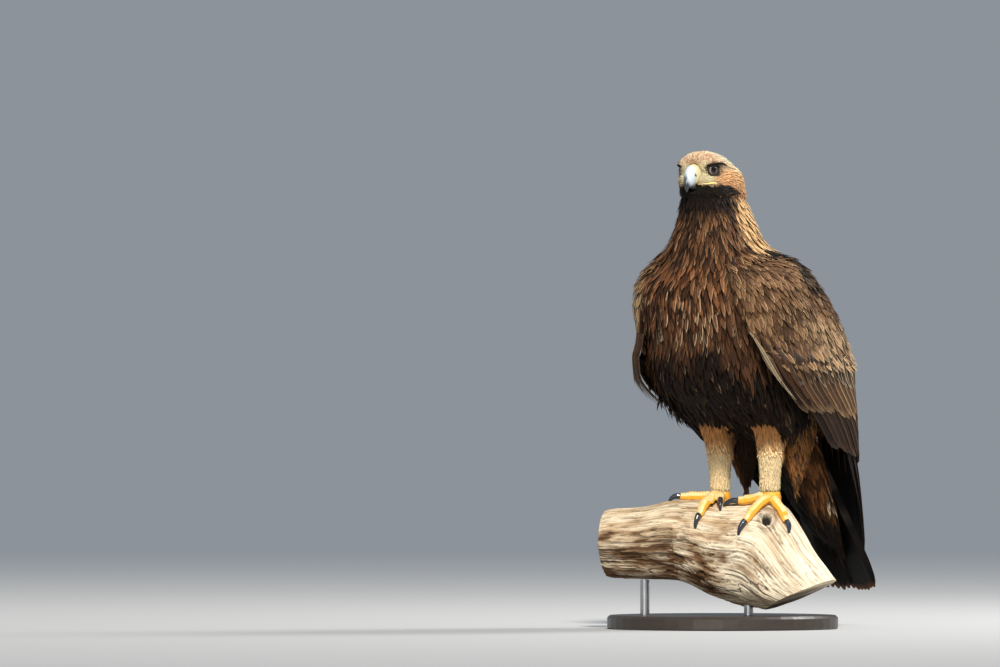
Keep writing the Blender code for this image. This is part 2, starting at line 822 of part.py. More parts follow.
def make_foot(side, collection, pieces):
    name = "left" if side > 0 else "right"
    heel = toe_route(side, 0, 0.01)[0][0]
    pad_centre = Vector((FOOT_SIDE * side, 0.002, heel.z + 0.010))
    foot = ball(pad_centre + FEET, 0.0165, collection, f"foot_{name}", 16, 10)
    foot.data.materials.append(material("yellow", 0.5))
    claws = []
    for toe, outward, length, claw_length in TOES[name]:
        route = toe_route(side, outward, length)
        points, radii, normals = [], [], []
        for i, (surface, normal) in enumerate(route):
            share = i / (len(route) - 1)
            knuckle = 1 + 0.09 * math.cos(share * 3 * 2 * math.pi)
            radius = TOE_RADIUS * (1.06 - 0.10 * share) * knuckle
            raise_at_heel = 0.004 * (1 - share) ** 2
            points.append(surface + normal * (radius * 0.80 + raise_at_heel))
            radii.append(radius)
            normals.append(normal)
        add_object("toe", tube(points, radii, normals, 8), pieces)
        claws.append((toe, points[-1], points[-1] - points[-2], normals[-1], claw_length))
    join(foot, pieces)
    add_object("perch_cutter", perch_mesh(CUT_GAP), pieces)
    add_object("shank_cutter", leg_mesh(SHANK, side, 18, CUT_GAP / MM), pieces)
    join(foot, pieces, "DIFFERENCE")
    for toe, end, heading, normal, claw_length in claws:
        make_claw(f"claw_{name}_{toe}", end, heading.normalized(), normal, claw_length, collection, pieces)


def make_claw(name, end, heading, normal, length, collection, pieces):
    """A talon that leaves the toe's end, arches, and comes down to the bark."""
    start = end + heading * GAP
    bend = math.radians(112)
    steps = 6
    base = TOE_RADIUS * 0.60
    points, radii, normals = [start], [base], [normal]
    at = start.copy()
    for i in range(1, steps + 1):
        share = i / steps
        angle = bend * (i - 1) / steps
        at = at + (heading * math.cos(angle) - normal * math.sin(angle)) * (length / steps)
        points.append(at.copy())
        radii.append(base * (1 - share) ** 0.75 + 0.0004)
        normals.append(normal)
    claw = add_object(name, tube(points, radii, normals, 8), collection, "horn")
    add_object("perch_cutter", perch_mesh(CUT_GAP), pieces)
    join(claw, pieces, "DIFFERENCE")


def make_leg(side, collection, pieces):
    name = "left" if side > 0 else "right"
    thigh = add_object(f"thigh_{name}", leg_mesh(THIGH, side, 20), collection, "brown")
    add_object("trouser", leg_mesh(TROUSER, side, 16), pieces)
    join(thigh, pieces)
    add_object("trunk_cutter", trunk_mesh(lift=CUT_GAP / MM), pieces)
    join(thigh, pieces, "DIFFERENCE")
    add_object(f"shank_{name}", leg_mesh(SHANK, side, 18), collection, "cream")


def leg_mesh(table, side, count, lift=0.0):
    """A stretch of a feathered leg through level ovals. A lift swells it, for a cutter."""
    rings = []
    for height, out, centre, half_width, half_depth in table:
        height -= lift if height == table[-1][0] else 0
        middle = Vector((out * side, centre, height)) * MM
        half_width, half_depth = (half_width + lift) * MM, (half_depth + lift) * MM
        ring = oval_ring(middle, Vector((1, 0, 0)), Vector((0, 1, 0)), half_width, half_depth, count)
        rings.append(move(ring))
    return loft(rings)


def make_stand(collection, pieces):
    profile = bpy.data.meshes.new("base_profile")
    shape = bmesh.new()
    bevel = 0.004
    outline = (
        (0, BASE_THICKNESS),
        (BASE_RADIUS - bevel, BASE_THICKNESS),
        (BASE_RADIUS, BASE_THICKNESS - bevel),
        (BASE_RADIUS, bevel / 2),
        (BASE_RADIUS - bevel / 2, 0),
        (0, 0),
    )
    verts = [shape.verts.new((x, 0, z)) for x, z in outline]
    for first, second in zip(verts, verts[1:]):
        shape.edges.new((first, second))
    shape.to_mesh(profile)
    shape.free()
    base = add_object("stand_base", profile, collection, "base")
    screw = base.modifiers.new("turn", "SCREW")
    screw.steps = screw.render_steps = 48
    screw.use_merge_vertices = True
    screw.merge_threshold = 0.00005
    along, _ = perch_directions()
    for number, distance in ((1, -168), (2, 6)):
        foot = along * (distance * MM) + FEET
        bottom, top = BASE_THICKNESS + GAP, FEET.z - 0.10
        middle = (foot.x, foot.y, (top + bottom) / 2)
        depth = top - bottom
        bpy.ops.mesh.primitive_cylinder_add(vertices=32, radius=ROD_RADIUS, depth=depth, location=middle)
        made = bpy.context.active_object
        made.data.transform(made.matrix_world)
        rod = add_object(f"stand_rod_{number}", made.data, collection, "steel")
        bpy.data.objects.remove(made, do_unlink=True)
        add_object("perch_cutter", perch_mesh(CUT_GAP), pieces)
        join(rod, pieces, "DIFFERENCE")


def main():
    clear_scene()
    collection = bpy.data.collections.new("golden_eagle")
    pieces = bpy.data.collections.new("pieces")
    bpy.context.scene.collection.children.link(collection)
    bpy.context.scene.collection.children.link(pieces)
    make_trunk(collection)
    make_neck(collection)
    make_head(collection, pieces)
    make_face(collection, pieces)
    make_tail(collection, pieces)
    for side in (1, -1):
        make_wing(side, collection, pieces)
        make_leg(side, collection, pieces)
        make_foot(side, collection, pieces)
    add_object("perch", perch_mesh(), collection, "wood")
    make_stand(collection, pieces)


main()
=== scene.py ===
"""The looks of a perched golden eagle: one skin, solid feather vanes over it, and finished bill, eyes, feet,
branch and stand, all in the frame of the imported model.

Lengths are metres in the shared frame. Tables are in millimetres in the bird's frame, whose zero lies
midway between the feet on top of the branch. The bird looks along -Y and its left side is +X.
"""

import itertools
import math
from collections import namedtuple
from types import SimpleNamespace

import bmesh
import bpy
import numpy as np
from mathutils import Matrix, Vector, noise
from mathutils.bvhtree import BVHTree


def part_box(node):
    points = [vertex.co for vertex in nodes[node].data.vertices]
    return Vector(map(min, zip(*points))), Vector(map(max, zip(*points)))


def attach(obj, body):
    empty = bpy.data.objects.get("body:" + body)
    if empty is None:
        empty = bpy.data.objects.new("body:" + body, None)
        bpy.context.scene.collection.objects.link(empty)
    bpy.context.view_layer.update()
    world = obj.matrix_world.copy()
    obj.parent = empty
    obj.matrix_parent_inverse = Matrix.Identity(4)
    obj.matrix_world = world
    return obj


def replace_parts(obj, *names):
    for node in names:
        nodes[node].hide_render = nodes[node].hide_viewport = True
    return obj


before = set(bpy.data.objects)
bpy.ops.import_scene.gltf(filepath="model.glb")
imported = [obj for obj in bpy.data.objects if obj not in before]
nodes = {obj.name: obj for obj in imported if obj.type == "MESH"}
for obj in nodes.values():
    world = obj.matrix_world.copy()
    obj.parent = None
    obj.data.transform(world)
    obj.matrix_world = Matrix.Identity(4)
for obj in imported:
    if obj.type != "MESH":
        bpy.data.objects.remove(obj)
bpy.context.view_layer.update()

MM = 0.001
FEET = Vector((0.045, 0.0, 0.207))
PICTURE_TURN = math.radians(38)
PICTURE_WIDTH = 1.6
# The middle of the picture from the feet: to the right and up
PICTURE_MIDDLE = (-0.392, 0.266)
CAMERA_DISTANCE = 24.0
SENSOR = 36
RNG = np.random.default_rng(7)

# Outline of body and folded wings: height, centre along Y, half width, half depth, squareness
ENVELOPE = (
    (505, -86, 45, 62, 2.1),
    (472, -83, 50, 65, 2.1),
    (442, -76, 61, 71, 2.1),
    (405, -73, 80, 84, 2.2),
    (392, -60, 101, 97, 2.3),
    (381, -54, 119, 107, 2.3),
    (362, -52, 139, 120, 2.5),
    (344, -49, 147, 130, 2.6),
    (320, -40, 151, 139, 2.8),
    (282, -21, 153, 149, 3.0),
    (254, -9, 152, 155, 3.0),
    (221, -2, 150, 158, 3.1),
    (189, 10, 146, 152, 3.1),
    (150, 45, 140, 124, 3.0),
    (112, 74, 133, 101, 3.0),
    (80, 98, 124, 84, 3.0),
    (29, 142, 104, 64, 3.0),
    (-40, 198, 77, 50, 2.8),
    (-85, 230, 62, 44, 2.6),
    (-133, 262, 50, 38, 2.5),
)
# Front edge of the folded wing: height, and direction round the body from straight ahead
WING_FRONT = (
    (398, 34),
    (360, 38),
    (320, 42),
    (259, 44),
    (200, 62),
    (152, 84),
    (80, 100),
    (-20, 112),
    (-120, 124),
)
EYES_MIDDLE = Vector((-2, -120.6, 526.5)) * MM
HEAD_TURN = math.radians(11)
EYE_RADIUS = 0.0106
EYE_SIDE = 0.0225
EYE_FORWARD = 0.0015
EYE_AXIS = math.radians(58)
# No feather comes this close to an eye within this angle of its line of sight
EYE_CLEAR = 0.017
EYE_OPENING = math.radians(49)
# Beak: forward, height, half width, half height, lean of the section in degrees
UPPER_BEAK = (
    (20, -8.2, 11.4, 15.9, 0),
    (25.3, -9.0, 11.2, 16.4, 3),
    (30.5, -12.0, 10.0, 16.2, 14),
    (34.5, -17.2, 8.2, 13.0, 32),
    (37.4, -22.8, 6.2, 9.0, 58),
    (40.2, -28.6, 3.7, 5.2, 82),
    (40.5, -35.5, 1.0, 1.2, 102),
)
CERE = (
    (6, -8.2, 13.2, 16.2, 0),
    (14, -8.8, 13.4, 18.0, 0),
    (20, -9.1, 12.7, 18.0, 0),
    (25.3, -9.7, 11.7, 17.2, 4),
    (28.6, -10.8, 10.6, 15.8, 11),
    (31.8, -12.2, 9.7, 14.0, 18),
)
LOWER_BEAK = (
    (4, -28.8, 11.2, 3.8, 0),
    (14, -28.8, 9.6, 3.6, 0),
    (24, -28.4, 7.2, 3.0, 0),
    (30, -27.8, 4.8, 2.3, 2),
    (33.5, -27.0, 2.1, 1.4, 4),
)
# Yellow corner of the mouth, along the face: forward and height
GAPE = {
    1: ((26, -23.2), (21, -22.6), (16, -21.6), (12, -21.2), (8.5, -22.0)),
    -1: ((28, -22.8), (25, -23.4), (22, -24.0)),
}
# The ridge over each eye and the line behind it: forward, height and thickness
BROW = (
    (20, 6.0, 0.8),
    (13, 9.0, 1.9),
    (4, 10.8, 2.4),
    (-7, 11.0, 2.2),
    (-19, 9.0, 1.6),
    (-34, 4.2, 1.0),
    (-48, 1.0, 0.5),
)
TAIL_ROOT = Vector((0, 112, 136)) * MM
TAIL_TIP = Vector((0, 297, -148)) * MM
TAIL_TIP_HALF = 0.038
PERCH = (
    (-232, -18, -230, -122, 50),
    (-214, -14, -212, -126, 54),
    (-166, -11, -164, -128, 57),
    (-120, -1, -114, -131, 64),
    (-76, -1, -84, -139, 67),
    (-32, -3, -60, -152, 68),
    (10, -2, -40, -160, 68),
    (44, 0, -22, -165, 68),
    (68, -12, -8, -168, 67),
    (92, -46, 3, -170, 66),
    (114, -82, 12, -171, 64),
    (134, -107, 24, -173, 62),
    (150, -127, 38, -175, 59),
)
PERCH_TURN = math.radians(20)
# A knot hole in the bark: place along the branch, and direction round it from the top
KNOT = (61, 44)
# Thigh, and the trouser feathers behind it: height, distance out, centre along Y, half width, half depth
LEGS = (
    (
        (150, 57, 4, 40, 53),
        (118, 54, 4, 32, 40),
        (92, 52, 2, 25, 29),
        (60, 51, 1, 21, 23),
    ),
    (
        (150, 57, 58, 33, 48),
        (130, 56, 60, 32, 47),
        (96, 54, 64, 27, 39),
        (66, 52, 66, 21, 29),
        (2, 50, 68, 5, 6),
    ),
)
LEG_MARGIN = 6
# The dark throat's edge, partly dark feathers and partly painted shadow under the head: height, and direction
# round the neck
THROAT_EDGE = ((450, 26), (458, 48), (465, 66), (473, 84), (491, 99), (500, 106))

# Colours as the eye names them, red, green and blue from 0 to 255
PAINT = {
    "cream": (246, 224, 186),
    "gold": (212, 160, 98),
    "rufous": (164, 98, 60),
    "cheek": (220, 158, 98),
    "lore": (232, 216, 172),
    # The dark throat colour: partly the throat's own dark feathers and partly painted shadow under the head
    "bib_and_shadow": (20, 13, 9),
    "umber": (90, 58, 36),
    "chestnut": (130, 82, 50),
    "dark": (48, 32, 22),
    "soot": (13, 8, 5),
    "covert": (118, 86, 60),
    "buff": (196, 160, 116),
    "pale": (230, 206, 168),
    "shaft": (60, 42, 32),
    "tan": (238, 202, 150),
    "rust": (138, 86, 44),
    "tail": (15, 12, 10),
    "grey": (128, 116, 102),
    "yellow": (238, 190, 60),
    "wax": (214, 202, 156),
    "bill": (194, 204, 211),
    "horn": (38, 40, 46),
    "toe": (240, 176, 44),
    "iris": (150, 130, 114),
    "iris_deep": (66, 48, 38),
    "pupil": (6, 5, 5),
    "olive": (74, 66, 30),
    "bleached_and_lit": (222, 207, 180),
    "beige": (184, 157, 123),
    "brown": (96, 67, 40),
    "black": (26, 17, 10),
}


def linear(values):
    """A colour of 0 to 255 in the linear values that shaders use."""
    values = np.array(values, float) / 255
    return np.where(values <= 0.04045, values / 12.92, ((values + 0.055) / 1.055) ** 2.4)


PAINTS = {name: linear(values) for name, values in PAINT.items()}


def smooth(values, low, high):
    """0 below low, 1 above high and a soft step between them."""
    t = np.clip((np.asarray(values, float) - low) / (high - low), 0, 1)
    return t * t * (3 - 2 * t)


def mix(first, second, share):
    share = np.asarray(share, float)[..., None]
    return first * (1 - share) + second * share


def layered(base, *layers):
    """Colours with named colours laid over them in turn, each by its share from 0 to 1."""
    for name, share in layers:
        base = mix(base, PAINTS[name], share)
    return base


def plain(name, points):
    """One named colour for every point."""
    return np.tile(PAINTS[name], (len(points), 1))


def local_of(points):
    """Points of the shared frame in millimetres of the bird's frame."""
    return (points - np.array(FEET)) / MM


def sided(name, side):
    return f"{name}_{'left' if side > 0 else 'right'}"


def numbered(table):
    """The rows of a table, each with its number in front as the key."""
    return [(i, *row) for i, row in enumerate(table)]


def link_object(name, data):
    made = bpy.data.objects.new(name, data)
    bpy.context.scene.collection.objects.link(made)
    return made


def mesh_from(shape, name):
    mesh = bpy.data.meshes.new(name)
    shape.to_mesh(mesh)
    shape.free()
    return mesh


def table_at(table, key):
    """A row of a table at any key between its first and last, on a smooth curve through its rows."""
    rising = table[-1][0] > table[0][0]
    rows = table if rising else table[::-1]
    keys = [row[0] for row in rows]
    key = min(max(key, keys[0]), keys[-1])
    i = max(k for k in range(len(keys) - 1) if keys[k] <= key or k == 0)
    span = keys[i + 1] - keys[i]
    t = (key - keys[i]) / span

    def slope(k, column):
        low, high = max(k - 1, 0), min(k + 1, len(rows) - 1)
        return (rows[high][column] - rows[low][column]) / (keys[high] - keys[low])

    values = []
    for column in range(1, len(rows[0])):
        start, end = rows[i][column], rows[i + 1][column]
        values.append(
            (2 * t**3 - 3 * t**2 + 1) * start
            + (t**3 - 2 * t**2 + t) * span * slope(i, column)
            + (3 * t**2 - 2 * t**3) * end
            + (t**3 - t**2) * span * slope(i + 1, column)
        )
    return values


def outline_point(section, direction, lift=0.0):
    centre, half_width, half_depth, square = section
    angle = math.radians(direction)
    across, along = math.sin(angle), math.cos(angle)
    reach = (abs(across / half_width) ** square + abs(along / half_depth) ** square) ** (-1 / square)
    reach += lift
    return across * reach, centre - along * reach


def envelope_point(direction, height, lift=0.0):
    x, y = outline_point(table_at(ENVELOPE, height), direction, lift)
    return Vector((x, y, height)) * MM


def envelope_normal(direction, height):
    step = 2.0
    across = envelope_point(direction + step, height) - envelope_point(direction - step, height)
    up = envelope_point(direction, height + step) - envelope_point(direction, height - step)
    return across.cross(up).normalized()


def head_frame():
    forward = Vector((math.sin(HEAD_TURN), -math.cos(HEAD_TURN), 0))
    side = Vector((math.cos(HEAD_TURN), math.sin(HEAD_TURN), 0))
    return forward, side


def head_point(side_mm, forward_mm, up_mm):
    forward, side = head_frame()
    return EYES_MIDDLE + (side * side_mm + forward * forward_mm + Vector((0, 0, up_mm))) * MM


def loft_mesh(name, rings):
    """A closed mesh through rings with the same number of points."""
    shape = bmesh.new()
    rows = [[shape.verts.new(point) for point in ring] for ring in rings]
    count = len(rows[0])
    for low, high in zip(rows, rows[1:]):
        for i in range(count):
            j = (i + 1) % count
            shape.faces.new((low[i], low[j], high[j], high[i]))
    shape.faces.new(rows[0][::-1])
    shape.faces.new(rows[-1])
    bmesh.ops.recalc_face_normals(shape, faces=shape.faces)
    return mesh_from(shape, name)


def place(points, side=1):
    """Points of the bird's frame in the shared frame, mirrored for its right side."""
    return [Vector((p[0] * side, p[1], p[2])) + FEET for p in points]


def oval_ring(centre, side, up, half_side, half_up, count, square=2.2):
    ring = []
    for i in range(count):
        angle = 2 * math.pi * i / count
        c, s = math.cos(angle), math.sin(angle)
        reach = (abs(c) ** square + abs(s) ** square) ** (-1 / square)
        ring.append(centre + side * (c * reach * half_side) + up * (s * reach * half_up))
    return ring


def add_piece(name, mesh, material):
    """A piece of the model that rides on its one body."""
    piece = link_object(name, mesh)
    mesh.materials.clear()
    mesh.materials.append(material)
    mesh.shade_smooth()
    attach(piece, "root")
    return piece


def baked(obj):
    """The mesh of an object after its modifiers."""
    bpy.context.view_layer.update()
    return bpy.data.meshes.new_from_object(obj.evaluated_get(bpy.context.evaluated_depsgraph_get()))


def positions(mesh):
    co = np.empty(len(mesh.vertices) * 3)
    mesh.vertices.foreach_get("co", co)
    return co.reshape(-1, 3)


def set_positions(mesh, co):
    mesh.vertices.foreach_set("co", np.ascontiguousarray(co, dtype=np.float32).ravel())
    mesh.update()


def normals_of(mesh):
    normals = np.empty(len(mesh.vertices) * 3)
    mesh.vertices.foreach_get("normal", normals)
    return normals.reshape(-1, 3)


def refined(mesh, iterations, voxel=None):
    """A mesh remeshed with a voxel size, where one is given, and then smoothed."""
    made = link_object("source", mesh)
    if voxel:
        remesh = made.modifiers.new("remesh", "REMESH")
        remesh.mode = "VOXEL"
        remesh.voxel_size = voxel
    soften = made.modifiers.new("soften", "SMOOTH")
    soften.factor = 0.5
    soften.iterations = iterations
    result = baked(made)
    bpy.data.objects.remove(made, do_unlink=True)
    return result


def paint_points(mesh, colours):
    """Stores a colour for every point of a mesh."""
    layer = mesh.color_attributes.new("Tint", "FLOAT_COLOR", "POINT")
    full = np.ones((len(mesh.vertices), 4), dtype=np.float32)
    full[:, :3] = colours
    layer.data.foreach_set("color", full.ravel())


# Materials


class Graph:
    """The shader nodes of one new material."""

    def __init__(self, name, roughness=0.6, specular=0.5):
        self.material = bpy.data.materials.new(name)
        self.material.use_nodes = True
        self.nodes = self.material.node_tree.nodes
        self.shader = self.nodes["Principled BSDF"]
        self.feed(self.shader, {"Roughness": roughness, "Specular IOR Level": specular})

    def feed(self, node, inputs):
        """Sets each input, by name or number, to a value, or links it to an output."""
        for key, value in inputs.items():
            if isinstance(value, bpy.types.NodeSocket):
                self.material.node_tree.links.new(value, node.inputs[key])
            else:
                node.inputs[key].default_value = value

    def add(self, kind, inputs, **settings):
        """Adds a node and returns its outputs."""
        node = self.nodes.new("ShaderNode" + kind)
        for key, value in settings.items():
            setattr(node, key, value)
        self.feed(node, inputs)
        return node.outputs

    def math(self, operation, *values):
        return self.add("Math", dict(enumerate(values)), operation=operation)[0]

    def scaled(self, value, factor, offset):
        return self.math("ADD", self.math("MULTIPLY", value, factor), offset)

    def noise(self, scale, detail, vector=None, **settings):
        """Noise from 0 to 1, over the object's own places unless others are given."""
        vector = vector or self.add("TexCoord", {})["Object"]
        return self.add("TexNoise", {"Vector": vector, "Scale": scale, "Detail": detail, **settings})["Fac"]

    def tint(self, shade):
        """Colours the surface with the colour stored at each point, times a shade."""
        stored = self.add("Attribute", {}, attribute_name="Tint")["Color"]
        inputs = {"Factor": 1.0, "A": stored, "B": shade}
        mixed = self.add("Mix", inputs, data_type="RGBA", blend_type="MULTIPLY")
        self.feed(self.shader, {"Base Color": mixed["Result"]})

    def bump(self, height, strength, distance):
        relief = self.add("Bump", {"Height": height, "Strength": strength, "Distance": distance})
        self.feed(self.shader, {"Normal": relief["Normal"]})


def feather_material(name, roughness, barbs):
    """Vanes with a fine grain of barbs that slant from the shaft to each edge."""
    graph = Graph(name, roughness, 0.12)
    place = graph.add("UVMap", {}, uv_map="Vane")["UV"]
    across, along, _ = graph.add("SeparateXYZ", {0: place})
    off_shaft = graph.math("ABSOLUTE", graph.math("SUBTRACT", across, 0.5))
    slant = graph.math("SUBTRACT", along, graph.math("MULTIPLY", off_shaft, 0.35))
    wobble = graph.noise(160, 3)
    lines = graph.math("ADD", slant, graph.math("MULTIPLY", wobble, 0.05))
    wave = graph.math("SINE", graph.math("MULTIPLY", lines, barbs * 6.283))
    grain = graph.scaled(wave, 0.5, 0.5)
    graph.tint(graph.math("MULTIPLY", graph.scaled(grain, 0.34, 0.80), graph.scaled(wobble, 0.5, 0.75)))
    graph.bump(grain, 0.35, 0.0006)
    return graph.material


# The skin


def wing_shell(side):
    """The folded arm under the wing feathers, from shoulder to flank."""
    rings = []
    for height in (388, 380, 366, 344, 314, 282, 250, 218, 186, 150, 120, 98):
        front = table_at(WING_FRONT, height)[0]
        count = 13
        section = table_at(ENVELOPE, height)
        outer, inner = [], []
        for i in range(count):
            direction = front + (175 - front) * i / (count - 1)
            edge = math.sin(math.pi * i / (count - 1))
            low = min(1.0, (height - 90) / 90)
            outer.append(Vector((*outline_point(section, direction, -4.5 * (1 - edge) - 1.0), height)) * MM)
            depth = -8 - 26 * max(low, 0.0) * (1 if height > 190 else 0.3)
            inner.append(Vector((*outline_point(section, direction, depth), height)) * MM)
        rings.append(place(outer + inner[::-1], side))
    return loft_mesh("shell", rings)


def tail_directions():
    down = (TAIL_TIP - TAIL_ROOT).normalized()
    side = Vector((1, 0, 0))
    back = side.cross(down).normalized()
    return down, side, back if back.y > 0 else -back


def tail_lobe():
    """The soft cone of feathers under the root of the tail."""
    _, side, back = tail_directions()
    rings = []
    for share, half_width, half_depth, shift in (
        (-0.06, 48, 30, -12),
        (0.10, 51, 32, -19),
        (0.26, 50, 29, -22),
        (0.42, 42, 22, -21),
        (0.56, 34, 16, -17),
        (0.68, 21, 9, -11),
        (0.76, 8, 4, -7),
    ):
        centre = TAIL_ROOT.lerp(TAIL_TIP, share) + back * (shift * MM)
        rings.append(place(oval_ring(centre, side, back, half_width * MM, half_depth * MM, 20)))
    return loft_mesh("lobe", rings)


SKIN_NODES = ("head", "neck", "torso", "thigh_left", "thigh_right", "shank_left", "shank_right")
SKIN_VOXEL = 0.0026
FOOT_VOXEL = 0.0008
CLAW_VOXEL = 0.0006
HEAD, NECK, BREAST, WING, THIGH, SHANK, UNDERTAIL, BACK = range(8)
DEPTHS = {HEAD: 1.6, NECK: 5.5, BREAST: 5.5, WING: 3.0, THIGH: 4.0, SHANK: 2.0, UNDERTAIL: 4.0, BACK: 4.0}


def turns_and_reach(points):
    """For points in millimetres: direction from straight ahead, and share of the outline's reach."""
    directions, reaches = np.empty(len(points)), np.empty(len(points))
    sections = {}
    for i, (x, y, z) in enumerate(points):
        height = round(z)
        if height not in sections:
            sections[height] = table_at(ENVELOPE, z)
        centre, half_width, half_depth, square = sections[height]
        directions[i] = math.degrees(math.atan2(abs(x), centre - y))
        across, along = abs(x / half_width), abs((y - centre) / half_depth)
        reaches[i] = (across**square + along**square) ** (1 / square)
    return directions, reaches


def on_legs(points):
    """Whether each point, in millimetres of the bird's frame, lies on a feathered leg."""
    x, y, z = points.T
    within = np.zeros(len(points), bool)
    for table in LEGS:
        rows = np.array(table[::-1], float)
        out, centre, wide, deep = (np.interp(z, rows[:, 0], rows[:, column]) for column in range(1, 5))
        share = ((np.abs(x) - out) / (wide + LEG_MARGIN)) ** 2 + ((y - centre) / (deep + LEG_MARGIN)) ** 2
        within |= (share < 1) & (z < rows[-1, 0]) & (z > rows[0, 0] - 10)
    return within


def regions_of(points):
    """The part of the body that each point, in millimetres of the bird's frame, belongs to."""
    x, y, z = points.T
    directions, reaches = turns_and_reach(points)
    fronts = np.interp(z, *np.array(WING_FRONT[::-1]).T)
    region = np.full(len(points), BREAST)
    region[(directions > 165) & (z < 392)] = BACK
    region[on_legs(points)] = THIGH
    region[(z < 145) & (y >= 96) & (np.abs(x) < 52) & (reaches < 0.97)] = UNDERTAIL
    region[(z < 74) & (y < 28)] = SHANK
    winged = (z < 393) & (z > 96) & (directions > fronts - 1) & (reaches > np.where(z > 344, 0.55, 0.9))
    region[winged] = WING
    region[z >= 393] = NECK
    region[z >= 486] = HEAD
    return region


def build_skin():
    """One smooth surface under all the feathers, set in from the solids by the depth of the coat."""
    shape = bmesh.new()
    for name in SKIN_NODES:
        shape.from_mesh(nodes[name].data)
    for mesh in (wing_shell(1), wing_shell(-1), tail_lobe()):
        shape.from_mesh(mesh)
        bpy.data.meshes.remove(mesh)
    skin = refined(mesh_from(shape, "skin"), 7, SKIN_VOXEL)
    co = positions(skin)
    depth = np.array([DEPTHS[region] for region in regions_of(local_of(co))])
    set_positions(skin, co - normals_of(skin) * depth[:, None] * MM)
    skin = refined(skin, 4)
    skin.name = "skin"
    return skin


def tree_of(mesh):
    mesh.calc_loop_triangles()
    triangles = [tuple(t.vertices) for t in mesh.loop_triangles]
    return BVHTree.FromPolygons([v.co.copy() for v in mesh.vertices], triangles)


# Markings, shared by skin and feathers


def head_places(points):
    """Points in the head's own axes: side, forward and up from between the eyes, in millimetres."""
    forward, side = head_frame()
    offset = points - np.array(EYES_MIDDLE) / MM
    return offset @ np.array(side), offset @ np.array(forward), offset[:, 2]


def patches(points, scale, seed):
    """Soft noise from 0 to 1 at each point."""
    shift = Vector((seed * 17.3, seed * 5.1, seed * 9.7))
    values = [noise.noise(Vector(p) / scale + shift) for p in points]
    return np.clip(np.array(values) * 0.9 + 0.5, 0, 1)


def eye_centre(side):
    return head_point(side * EYE_SIDE / MM, EYE_FORWARD / MM, 0)


def eye_axis(side):
    forward, across = head_frame()
    return forward * math.cos(EYE_AXIS) + across * (side * math.sin(EYE_AXIS))


def eye_shadow(side, forward, up):
    """How much each place on the head belongs to the dark surround of an eye and the line behind it, partly
    the eye's dark skin and partly painted shadow of the brow.
    """
    away = np.sqrt((forward - 7) ** 2 + (up - 0.5) ** 2 + (np.abs(side) - 31) ** 2 * 0.3)
    ring = 1 - smooth(away, 10.5, 14.5)
    back = np.clip((6 - forward) / 34, 0, 1)
    line_height = 9.5 - 9 * back
    length = smooth(-forward, -6, 2) * (1 - smooth(back, 0.55, 1.0))
    line = (1 - smooth(np.abs(up - line_height), 1.6, 4.2)) * length
    return np.clip(ring + 0.75 * line, 0, 1)


def throat_and_shadow_share(points, directions, chance, fine):
    """How far each point belongs to the dark throat, from the bill down the front of the neck: partly the
    throat's dark feathers and partly painted shadow under the head and bill.
    """
    _, forward, up = head_places(points)
    top = smooth(-up + 0.235 * np.minimum(forward, 0) + 5 * (fine - 0.5), 20.3, 25)
    edge = np.interp(points[:, 2], *np.array(THROAT_EDGE).T) * np.where(points[:, 0] < 0, 0.5, 1.0)
    sides = smooth(edge + 14 * (fine - 0.5) - directions, -7, 7)
    bottom = smooth(points[:, 2] + 22 * (chance - 0.5) - 0.12 * directions, 463, 478)
    return top * sides * bottom


def head_colours(points, chance):
    """Cream crown with rufous streaks, orange cheek, pale lores, and a dark eye surround that is partly dark
    skin and partly painted shadow of the brow, with painted shade at the corner of the mouth.
    """
    side, forward, up = head_places(points)
    fine = patches(points, 5, 3)
    brow = smooth(forward, -34, 6) * smooth(up, 8, 14)
    cheek = smooth(-up, -4, 8) * smooth(-forward, -20, -6) * smooth(forward, -66, -46)
    under = smooth(-up, 15, 25) * smooth(forward, -58, -40)
    lore = smooth(forward, 8, 15) * smooth(up, -26, -20) * (1 - smooth(up, 5, 10))
    # Painted shade at the corner of the mouth, below the gape
    corner = smooth(-up, 15, 19) * smooth(forward, 0, 8) * (1 - smooth(-up, 21, 23))
    return layered(
        plain("gold", points),
        ("cream", 0.25 + 0.75 * smooth(up, -2, 20)),
        ("cream", smooth(-forward, 30, 44) * 0.5),
        ("gold", smooth(-forward, 38, 60) * (0.45 + 0.4 * smooth(-up, -4, 24))),
        ("rufous", brow * smooth(chance, 0.28, 0.50) * (0.45 + 0.55 * fine)),
        ("cheek", cheek * (0.75 + 0.25 * fine)),
        ("rufous", cheek * smooth(chance, 0.62, 0.85) * 0.7),
        ("rufous", under * 0.7),
        ("lore", lore * (0.8 + 0.2 * fine)),
        # Umber here is painted shade at the mouth's corner
        ("umber", corner * 0.4),
        # Painted shadow of the brow round the eye and along the line behind it, over the eye's dark skin
        ("soot", eye_shadow(side, forward, up) * 0.96),
    )


def across_picture(x, y):
    """How far to the right a place shows in the photograph's view."""
    return 0.788 * x + 0.616 * y


def dark_shoulder_and_shade(points):
    """The black patch over each shoulder, and the glossy streaks that run down from it: partly black scapular
    feathers and partly painted shade where wing and neck meet.
    """
    x, y, z = points.T
    across = across_picture(np.abs(x), y)
    patch = 1 - smooth(((across - 42) / 31) ** 2 + ((z - 400) / 12) ** 2, 0.7, 1.3)
    beside = 0.743 * (across - 72) + 0.669 * (z - 378)
    down = 0.669 * (across - 72) - 0.743 * (z - 378)
    streaks = (1 - smooth(np.abs(beside - 2), 5, 9)) * smooth(down, -22, -8) * (1 - smooth(down, 44, 62))
    return np.clip(patch + streaks, 0, 1)


def head_markings(at):
    # The throat is partly dark feathers and partly painted shadow under the head and bill
    base = layered(head_colours(at.points, at.chance), ("bib_and_shadow", at.throat))
    return base, layered(base, ("cream", 0.30), ("bib_and_shadow", at.throat * 0.95))


